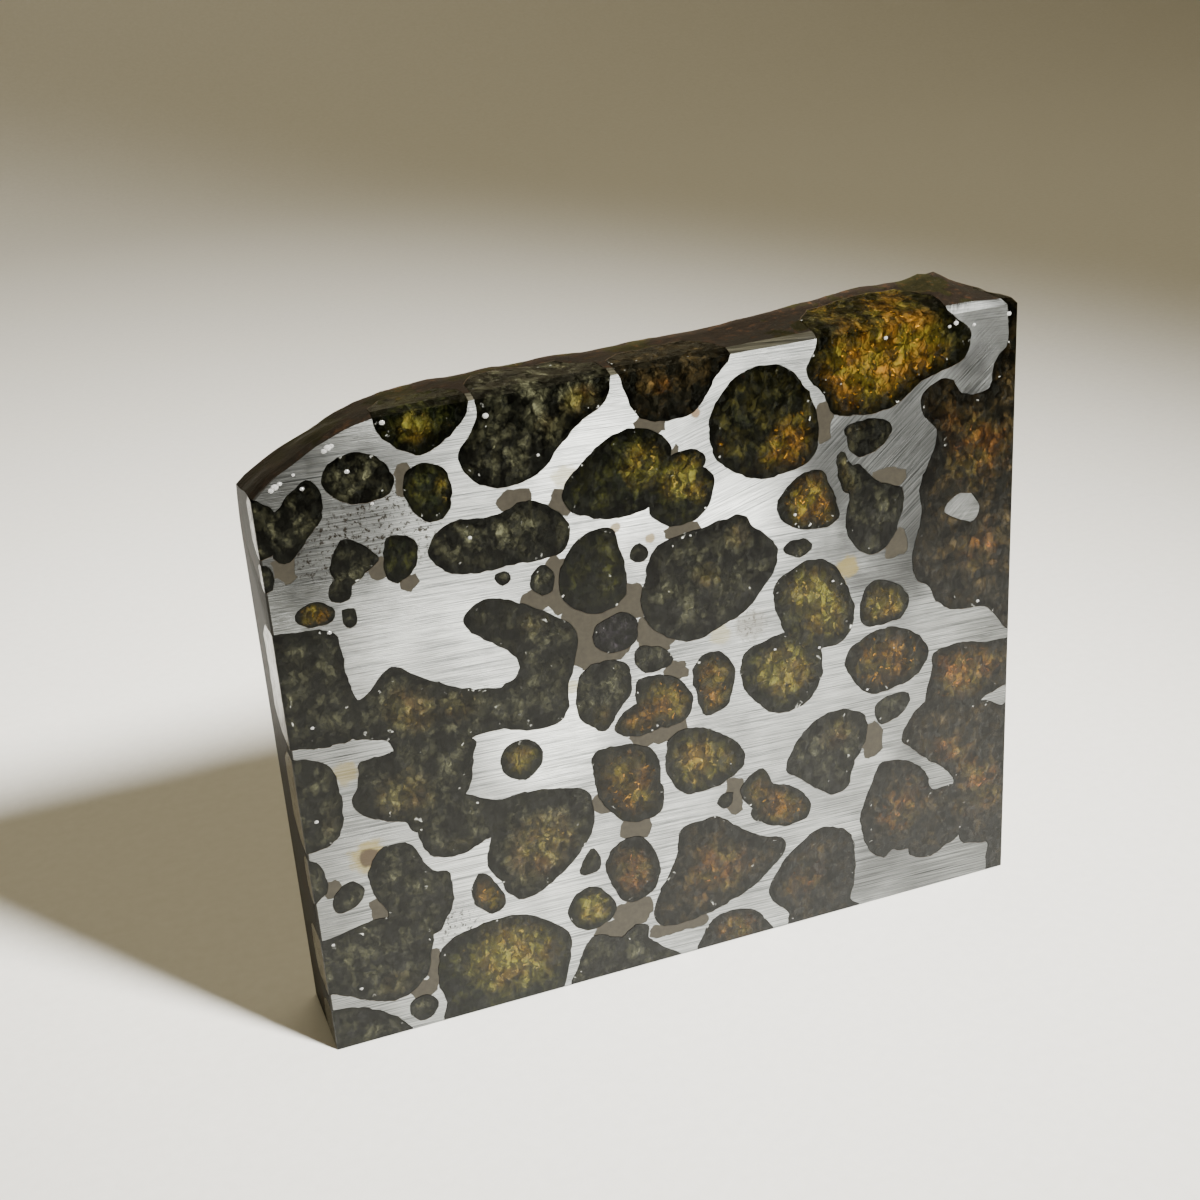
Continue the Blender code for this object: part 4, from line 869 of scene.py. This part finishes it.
    # painted glints: small white specks, most of all near the rim
    grit = addNode(tree, "ShaderNodeTexVoronoi", {"Vector": warped, "Scale": 2.6})
    lift = addNode(tree, "ShaderNodeMapRange", {"Value": rim, "To Min": 0.0, "To Max": -0.16})
    chosen = addNode(tree, "ShaderNodeMath", {0: grit.outputs["Color"], 1: lift}, operation="ADD")
    chosen = addNode(tree, "ShaderNodeMath", {0: chosen, 1: cloud}, operation="ADD")
    chosen = addNode(tree, "ShaderNodeMapRange", {"Value": chosen, "From Min": 1.34, "From Max": 1.54})
    spot = addNode(tree, "ShaderNodeMapRange", {
        "Value": grit.outputs["Distance"], "From Min": 0.14, "From Max": 0.38, "To Min": 1.0, "To Max": 0.0,
    })
    paintedGlint = addNode(tree, "ShaderNodeMath", {0: chosen, 1: spot}, operation="MULTIPLY")
    colour = addNode(tree, "ShaderNodeMix", {
        "Factor": paintedGlint, "A": body, "B": linear("#e6e8de"),
    }, data_type="RGBA")
    # each small crack facet leans its own way
    chips = addNode(tree, "ShaderNodeTexVoronoi", {"Vector": upright, "Scale": 1.8 / facts["cell"]})
    lean = addNode(tree, "ShaderNodeVectorMath", {
        0: chips.outputs["Color"], 1: (0.5, 0.5, 0.5),
    }, operation="SUBTRACT")
    lean = addNode(tree, "ShaderNodeVectorMath", {0: lean, "Scale": 0.3}, operation="SCALE")
    normal = addNode(tree, "ShaderNodeNewGeometry").outputs["Normal"]
    tilted = addNode(tree, "ShaderNodeVectorMath", {0: normal, 1: lean}, operation="ADD")
    tilted = addNode(tree, "ShaderNodeVectorMath", {0: tilted}, operation="NORMALIZE")
    bump = addNode(tree, "ShaderNodeBump", {
        "Height": fibres, "Normal": tilted, "Strength": 0.4, "Distance": 0.0002,
    })
    # painted reflection: the lacquer's gloss is turned down towards the top, standing in for the darker
    # surroundings that the upper face reflects
    height = addNode(tree, "ShaderNodeSeparateXYZ", {"Vector": coords}).outputs["Z"]
    paintedVeil = addNode(tree, "ShaderNodeMapRange", {
        "Value": height, "From Min": 34.0, "From Max": 55.0, "To Min": 0.40, "To Max": 0.06,
    })
    linkShader(tree, shader, baseColor=colour, normal=bump, coatWeight=paintedVeil)
    taken = addNode(tree, "ShaderNodeVolumeAbsorption", {
        "Color": linear(facts["absorb"]), "Density": facts["density"],
    })
    tree.links.new(taken.outputs["Volume"], tree.nodes["Material Output"].inputs["Volume"])
    return material


def smoothOutline(points, raggedness=1.0):
    # a closed curve through the points, with the small wandering of a real grain edge
    smooth = []
    for i in range(len(points)):
        p0, p1, p2, p3 = (Vector(points[(i + k) % len(points)]) for k in (-1, 0, 1, 2))
        steps = max(1, round((p2 - p1).length / grains["facetLength"]))
        for step in range(steps):
            t = step / steps
            smooth.append(0.5 * (2 * p1 + (p2 - p0) * t + (2 * p0 - 5 * p1 + 4 * p2 - p3) * t * t
                                 + (3 * p1 - p0 - 3 * p2 + p3) * t ** 3))
    wandered = []
    for p in smooth:
        spot = Vector((p.x, p.y, 0.0)) / grains["raggedLength"]
        broad = Vector((noise.noise(spot), noise.noise(spot + Vector((31, 17, 5)))))
        fine = Vector((noise.noise(spot * 2.7), noise.noise(spot * 2.7 + Vector((11, 7, 3)))))
        wandered.append(p + (broad * 2 + fine) * grains["raggedness"] * raggedness)
    return wandered


def outlineArea(points):
    return 0.5 * sum(a.x * b.y - b.x * a.y for a, b in zip(points, points[1:] + points[:1]))


def growOutline(points, distance):
    turn = -1.0 if outlineArea(points) > 0 else 1.0
    grown = []
    for i, point in enumerate(points):
        before = (point - points[i - 1]).normalized()
        after = (points[(i + 1) % len(points)] - point).normalized()
        along = (before + after).normalized()
        grown.append(point + Vector((-along.y, along.x)) * turn * distance)
    return grown


def pullOutline(name, outline, sections, materialIndex=0):
    # a flat outline extruded into the slab, section by section: how far in, and its share of the width
    bm = bmesh.new()
    face = bm.faces.new([bm.verts.new(place(p.x, sections[0][0], p.y)) for p in outline])
    centre = sum((v.co for v in face.verts), Vector()) / len(outline)
    for (inward, share), (deeper, nextShare) in zip(sections, sections[1:]):
        grown = bmesh.ops.extrude_face_region(bm, geom=[face])["geom"]
        if inward > sections[0][0]:
            bmesh.ops.delete(bm, geom=[face], context="FACES_ONLY")  # the cap inside the solid
        face = next(f for f in grown if isinstance(f, bmesh.types.BMFace))
        factor = nextShare / share
        bmesh.ops.scale(bm, vec=(factor, 1, factor), verts=face.verts, space=Matrix.Translation(-centre))
        bmesh.ops.translate(bm, vec=(0, (deeper - inward) * mm, 0), verts=face.verts)
    bmesh.ops.recalc_face_normals(bm, faces=bm.faces)
    for face in bm.faces:
        face.material_index = materialIndex
    return addMeshObject(bm, name)


def pullGrain(name, points, growth, startInward, materialIndex=0):
    outline = smoothOutline(points)
    width = math.sqrt(4 * abs(outlineArea(outline)) / math.pi)
    depth = min(max(width * grains["depthShare"], grains["leastDepth"]), grains["greatestDepth"]) + growth
    sections = [(0.0, 1.0), (depth * grains["waistDepth"], grains["waist"]), (depth, grains["toe"])]
    if startInward < 0:
        sections.insert(0, (startInward, 1.0))
    return pullOutline(name, growOutline(outline, growth), sections, materialIndex)


def pullIsland(points, growth):
    sections = [(-2 * grains["overshoot"], 1.0), (grains["greatestDepth"] + 2 * grains["overshoot"], 1.0)]
    return pullOutline("island", growOutline(smoothOutline(points), -growth), sections, 3)


def combine(target, tool, operation):
    modifier = target.modifiers.new("join", "BOOLEAN")
    modifier.operation = operation
    modifier.solver = "EXACT"
    if isinstance(tool, bpy.types.Collection):
        modifier.operand_type = "COLLECTION"
        modifier.collection = tool
    else:
        modifier.object = tool
    bpy.context.view_layer.update()
    evaluated = target.evaluated_get(bpy.context.evaluated_depsgraph_get())
    mesh = bpy.data.meshes.new_from_object(evaluated)
    target.modifiers.clear()
    target.data = mesh
    if not isinstance(tool, bpy.types.Collection):
        bpy.data.objects.remove(tool)


def reachesOutside(outlines):
    margin = slab["cornerRadius"]
    return any(
        x < margin or x > slab["faceWidth"] - margin
        or z < margin or z > readProfile(slab["frontCrease"], x) - margin
        for outline in outlines for x, z in outline)


def insideDistance(spots, outline):
    # mm from each spot to the outline, negative outside it
    a = np.array([tuple(p) for p in outline])
    b = np.roll(a, -1, axis=0)
    edge = b - a
    toSpot = spots[:, None, :] - a[None]
    share = np.clip((toSpot * edge).sum(2) / (edge ** 2).sum(1), 0, 1)
    gap = np.sqrt(((toSpot - share[..., None] * edge) ** 2).sum(2)).min(1)
    x, z = spots[:, 0:1], spots[:, 1:2]
    crosses = (a[:, 1] > z) != (b[:, 1] > z)
    rise = np.where(np.abs(edge[:, 1]) < 1e-9, 1e-9, edge[:, 1])
    passed = crosses & (x < edge[:, 0] * (z - a[:, 1]) / rise + a[:, 0])
    return np.where(passed.sum(1) % 2 == 1, gap, -gap)


def addCrystalValues(mesh, outlines, seed):
    # a grid of points on the ground face, then each point's distance from the rim, painted glow and grain
    # tone
    bm = bmesh.new()
    bm.from_mesh(mesh)
    step = grains["gridStep"] * mm
    for axis in (0, 2):
        low = min(v.co[axis] for v in bm.verts)
        high = max(v.co[axis] for v in bm.verts)
        normal = Vector((axis == 0, 0, axis == 2))
        for i in range(1, int((high - low) / step) + 1):
            shown = [f for f in bm.faces if f.normal.y < -0.95]
            parts = set(shown) | {e for f in shown for e in f.edges} | {v for f in shown for v in f.verts}
            bmesh.ops.bisect_plane(bm, geom=list(parts), dist=1e-7, plane_co=normal * (low + i * step),
                                   plane_no=normal)
    bm.to_mesh(mesh)
    bm.free()
    count = len(mesh.vertices)
    flat = np.empty(count * 3)
    mesh.vertices.foreach_get("co", flat)
    points = flat.reshape(-1, 3) / mm
    spots = np.stack([points[:, 0] + slab["faceWidth"] / 2, points[:, 2]], axis=1)
    chooser = random.Random(seed)
    rim = np.full(count, -1e9)
    tones = np.ones(count)
    for outline in outlines:
        inside = insideDistance(spots, smoothOutline(outline))
        share = inside / min(grains["rimWidth"], grains["rimShare"] * max(inside.max(), 0.1))
        tone = chooser.uniform(grains["leastTone"], grains["greatestTone"])
        tones = np.where(share > rim, tone, tones)
        rim = np.maximum(rim, share)
    rim = np.clip(rim, 0, 1)
    glow = np.zeros(count)
    for across, height, radius, strength in glows:
        reach = np.hypot(spots[:, 0] - across, spots[:, 1] - height) / radius
        glow = np.maximum(glow, strength * np.clip(grains["glowCore"] - reach, 0, 1))
    for name, values in (("rim", rim), ("glow", glow), ("tone", tones)):
        attribute = mesh.attributes.new(name, "FLOAT", "POINT")
        attribute.data.foreach_set("value", values.astype(np.float32))


def buildCrystal(name, kind, outlines, blank, finishes):
    # grains that an edge cuts, or that have grown together, start before the face and are cut to the slab
    trimmed = reachesOutside(outlines) or len(outlines) > 1
    start = -grains["overshoot"] if trimmed else 0.0
    piece = pullGrain(camelName(name), outlines[0], 0.0, start)
    for outline in outlines[1:]:
        combine(piece, pullGrain("neighbourGrain", outline, 0.0, start), "UNION")
    if name in islands:
        combine(piece, pullIsland(islands[name], 0.0), "DIFFERENCE")
    if trimmed:
        cutter = blank.copy()
        bpy.context.scene.collection.objects.link(cutter)
        combine(piece, cutter, "INTERSECT")
    piece.data.materials.clear()
    piece.data.materials.append(finishes["chromite" if name == "chromite_grain" else kind])
    for polygon in piece.data.polygons:
        polygon.material_index = 0
    addCrystalValues(piece.data, outlines, name)
    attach(piece, "root")
    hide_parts(name)


# troilite, bronze-grey, ground flush with the iron, in mm
troilite = {
    "depth": 0.012,         # too shallow to read as a step: only the floor's finish shows
    "depthStep": 0.0006,    # each patch is this much deeper than the last, so that no two share a floor
    "corners": 10,
    "fullness": 0.75,       # 1 is an oval, less is squarer
    "raggedness": 2.6,      # as a share of a grain's
    "patches": [            # across from, across to, height from, height to
        (10.9, 12.4, 48.3, 51.2), (18.8, 21.7, 45.6, 47.4), (23.0, 24.9, 44.3, 46.6),
        (30.4, 33.2, 49.8, 51.5), (33.0, 34.2, 47.2, 48.4), (8.1, 9.7, 42.1, 44.0),
        (10.3, 11.9, 40.7, 42.0), (22.0, 24.2, 36.0, 41.2), (19.8, 22.4, 36.5, 38.6),
        (22.8, 29.4, 30.6, 37.2), (28.6, 30.5, 33.9, 37.4), (29.5, 33.0, 30.6, 34.4),
        (31.8, 34.0, 27.6, 29.5), (28.2, 33.6, 22.1, 23.9), (26.9, 29.8, 13.1, 15.6),
        (24.5, 26.6, 16.6, 18.6), (25.7, 29.4, 4.4, 7.2), (23.8, 27.6, 3.4, 5.6), (29.0, 34.8, 2.4, 4.0),
        (50.2, 52.4, 15.4, 18.9), (36.9, 38.6, 13.1, 16.9), (4.4, 6.5, 11.6, 14.0), (8.4, 10.0, 3.8, 7.6),
        (6.9, 9.4, 3.0, 4.7), (0.8, 2.4, 15.0, 16.6), (52.5, 55.0, 34.6, 37.2), (46.2, 47.8, 46.2, 49.8),
        (51.2, 54.6, 41.0, 43.0), (32.6, 35.6, 40.3, 41.8), (0.8, 2.6, 43.3, 45.6),
    ],
}


def buildTroilitePatch(index, box):
    x0, x1, z0, z1 = box
    points = []
    for i in range(troilite["corners"]):
        turn = math.pi * i / (troilite["corners"] / 2)
        toCorner = (math.cos(turn), math.sin(turn))
        right, up = (math.copysign(abs(v) ** troilite["fullness"], v) for v in toCorner)
        points.append(((x0 + x1) / 2 + (x1 - x0) / 2 * right, (z0 + z1) / 2 + (z1 - z0) / 2 * up))
    sections = [(-grains["overshoot"], 1.0), (troilite["depth"] + troilite["depthStep"] * index, 1.0)]
    return pullOutline("troilitePatch", smoothOutline(points, troilite["raggedness"]), sections, 4)


def sharpenEdges(mesh):
    # the ground face stays flat to its very edge, and the crust stays smooth
    bm = bmesh.new()
    bm.from_mesh(mesh)
    for edge in bm.edges:
        if len(edge.link_faces) == 2:
            faceOn = any(f.normal.y < -0.999 for f in edge.link_faces)
            edge.smooth = edge.calc_face_angle() < math.radians(1.0 if faceOn else slab["smoothBelow"])
    for face in bm.faces:
        face.smooth = True
    bm.to_mesh(mesh)
    bm.free()


def buildMetal(blank):
    cutters = bpy.data.collections.new("pockets")
    bpy.context.scene.collection.children.link(cutters)
    for name, (kind, outlines) in crystals.items():
        for outline in outlines:
            pocket = pullGrain("pocket", outline, grains["seam"], -grains["overshoot"], 3)
            if name in islands:
                combine(pocket, pullIsland(islands[name], grains["seam"]), "DIFFERENCE")
            cutters.objects.link(pocket)
    for index, box in enumerate(troilite["patches"]):
        cutters.objects.link(buildTroilitePatch(index, box))
    for item in cutters.objects:
        bpy.context.scene.collection.objects.unlink(item)
    metal = bpy.data.objects.new("nickelIronMetal", blank.data.copy())
    bpy.context.scene.collection.objects.link(metal)
    for make in (brushedIron, sawnIron, crustFinish, pocketFinish, troiliteFinish):
        metal.data.materials.append(make())
    combine(metal, cutters, "DIFFERENCE")
    for item in list(cutters.objects):
        bpy.data.objects.remove(item)
    bpy.data.collections.remove(cutters)
    sharpenEdges(metal.data)
    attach(metal, "root")
    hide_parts("nickel_iron_matrix")


# lacquer that stood in beads while it dried, in mm
lacquer = {
    "sink": 0.02,           # a bead's middle lies this far behind the face
    "shape": (1.2, 0.5, 1.0),   # across, into the slab and up, as shares of its radius
    "beads": [              # across, height, radius
        (10.5, 54.6, 0.20), (17.4, 54.4, 0.18), (18.5, 53.7, 0.22), (7.4, 51.3, 0.18), (3.9, 50.6, 0.16),
        (1.6, 50.9, 0.20), (1.9, 51.1, 0.26), (2.3, 51.3, 0.18), (3.4, 51.8, 0.13), (5.9, 53.2, 0.20),
        (6.2, 53.4, 0.26), (6.5, 53.5, 0.18), (4.4, 38.6, 0.16), (1.2, 22.4, 0.16), (2.8, 5.5, 0.14),
        (1.0, 10.5, 0.14), (59.2, 54.4, 0.20), (58.6, 54.2, 0.14), (64.2, 54.4, 0.20), (52.7, 54.2, 0.16),
        (61.8, 28.6, 0.15), (16.3, 44.1, 0.15), (2.0, 30.8, 0.14), (44.2, 40.4, 0.13), (47.6, 33.6, 0.12),
        (46.2, 27.6, 0.13), (42.0, 28.4, 0.12), (50.8, 22.4, 0.12), (9.0, 48.4, 0.14), (22.4, 49.8, 0.12),
        (60.9, 54.0, 0.15),
    ],
}


def lacquerFinish():
    # acrylic lacquer, dried smooth, with a sharp gloss; it is painted white so that each bead shows as a
    # painted glint
    material, tree, shader = newMaterial(
        "clearLacquer", baseColor=linear("#f4f4f0"), roughness=0.04, iOR=1.5, transmissionWeight=0.75)
    coords = slabCoordinates(tree)
    ripple = addNode(tree, "ShaderNodeTexNoise", {"Vector": coords, "Scale": 3.0})
    bump = addNode(tree, "ShaderNodeBump", {"Height": ripple, "Strength": 0.2, "Distance": 0.00005})
    linkShader(tree, shader, normal=bump)
    return material


def buildLacquerBeads():
    bm = bmesh.new()
    for across, height, radius in lacquer["beads"]:
        spot = place(across, lacquer["sink"], height)
        size = Matrix.Translation(spot) @ Matrix.Diagonal((*lacquer["shape"], 1.0))
        bmesh.ops.create_icosphere(bm, subdivisions=3, radius=radius * mm, matrix=size)
    beads = addMeshObject(bm, "lacquerBeads")
    beads.data.shade_smooth()
    beads.data.materials.append(lacquerFinish())
    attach(beads, "root")


# where the camera stands, counted as the slab's places are: mm and degrees
view = {
    "spot": (-15.542, -126.365, 97.114),
    "yaw": 18.4346, "pitch": 24.4736, "roll": 4.2434,
    "lens": 54.0, "sensor": 36.0,
}


def makeCamera():
    yaw, pitch, roll = (math.radians(view[name]) for name in ("yaw", "pitch", "roll"))
    ahead = Vector((math.sin(yaw), math.cos(yaw), 0))
    side = Vector((math.cos(yaw), -math.sin(yaw), 0))
    forward = ahead * math.cos(pitch) - Vector((0, 0, math.sin(pitch)))
    down = -(Vector((0, 0, math.cos(pitch))) + ahead * math.sin(pitch))
    right = side * math.cos(roll) + down * math.sin(roll)
    low = -side * math.sin(roll) + down * math.cos(roll)
    camera = bpy.data.objects.new("camera", bpy.data.cameras.new("camera"))
    camera.data.lens = view["lens"]
    camera.data.sensor_width = view["sensor"]
    camera.data.clip_start = 0.005
    axes = Matrix((right, -low, -forward)).transposed().to_4x4()
    camera.matrix_world = Matrix.Translation(place(*view["spot"])) @ axes
    bpy.context.scene.collection.objects.link(camera)
    bpy.context.scene.camera = camera


# lamps: turn right of the face's own direction and height above level in degrees, then metres and watts
studio = {
    "keyLamp": {
        "turn": 35.5, "height": 44.0, "distance": 0.5, "size": 0.085, "power": 0.8, "spread": 40.0,
        "aim": (-0.025, 0.065, 0.0), "colour": (1.0, 0.985, 0.95),
    },
    "overheadBox": {
        "turn": 170.0, "height": 74.0, "distance": 0.8, "size": 0.6, "power": 1.5, "spread": 150.0,
        "aim": (0.0, 0.0, 0.0), "colour": (1.0, 0.88, 0.60),
    },
    "worldColour": "#c2ae70",
    "worldStrength": 0.08,
    "sweepStart": 0.34,     # metres behind the slab where the floor turns up, and its radius
    "sweepRadius": 0.25,
    "floorDrop": 0.00005,   # the floor lies this far under the slab, so that the two don't flicker
    "floorWidth": 4.0,
    "floorLength": 2.5,
    "wallHeight": 1.5,
    "floorGrit": 900.0,     # per metre, so about 1 mm
}


def makeStudio():
    for name in ("keyLamp", "overheadBox"):
        facts = studio[name]
        turn, height = math.radians(facts["turn"]), math.radians(facts["height"])
        toward = Vector((math.sin(turn) * math.cos(height), -math.cos(turn) * math.cos(height),
                         math.sin(height)))
        lamp = bpy.data.objects.new(name, bpy.data.lights.new(name, "AREA"))
        lamp.data.shape = "DISK"
        lamp.data.size = facts["size"]
        lamp.data.energy = facts["power"]
        lamp.data.color = facts["colour"]
        lamp.data.spread = math.radians(facts["spread"])
        lamp.location = toward * facts["distance"]
        lamp.rotation_euler = (lamp.location - Vector(facts["aim"])).to_track_quat("Z", "Y").to_euler()
        bpy.context.scene.collection.objects.link(lamp)
    world = bpy.data.worlds.new("studio")
    world.use_nodes = True
    background = world.node_tree.nodes["Background"]
    background.inputs["Color"].default_value = linear(studio["worldColour"])
    background.inputs["Strength"].default_value = studio["worldStrength"]
    bpy.context.scene.world = world

    # a pale floor that sweeps up behind
    bm = bmesh.new()
    start, radius = studio["sweepStart"], studio["sweepRadius"]
    corner = bm.verts.new((-studio["floorWidth"] / 2, start, -studio["floorDrop"]))
    line = bmesh.ops.spin(bm, geom=[corner], cent=(0, start, radius), axis=(1, 0, 0),
                          angle=math.radians(90), steps=16, use_duplicate=False)["geom_last"]
    top = next(item for item in line if isinstance(item, bmesh.types.BMVert))
    for vert, shift in ((corner, (0, -studio["floorLength"], 0)), (top, (0, 0, studio["wallHeight"]))):
        grown = bmesh.ops.extrude_vert_indiv(bm, verts=[vert])["verts"]
        bmesh.ops.translate(bm, verts=grown, vec=shift)
    swept = bmesh.ops.extrude_edge_only(bm, edges=bm.edges[:])["geom"]
    far = [v for v in swept if isinstance(v, bmesh.types.BMVert)]
    bmesh.ops.translate(bm, verts=far, vec=(studio["floorWidth"], 0, 0))
    bmesh.ops.recalc_face_normals(bm, faces=bm.faces)
    floor = addMeshObject(bm, "floor")
    floor.data.shade_smooth()
    # a table top painted matt in a warm white
    material, tree, shader = newMaterial("paleTable", roughness=0.55)
    coords = addNode(tree, "ShaderNodeTexCoord").outputs["Object"]
    grit = addNode(tree, "ShaderNodeTexNoise", {
        "Vector": coords, "Scale": studio["floorGrit"], "Detail": 3.0,
    })
    colour = addNode(tree, "ShaderNodeMix", {
        "Factor": grit, "A": linear("#dedcd5"), "B": linear("#eae8e2"),
    }, data_type="RGBA")
    linkShader(tree, shader, baseColor=colour)
    floor.data.materials.append(material)


print("slab")
blank = buildSlab()
print("crystals")
crystalFinishes = {kind: crystalFinish(kind) for kind in crystalKinds}
for name, (kind, outlines) in crystals.items():
    buildCrystal(name, kind, outlines, blank, crystalFinishes)
print("metal and lacquer")
buildMetal(blank)
bpy.data.objects.remove(blank)
buildLacquerBeads()
print("camera and studio")
makeCamera()
makeStudio()
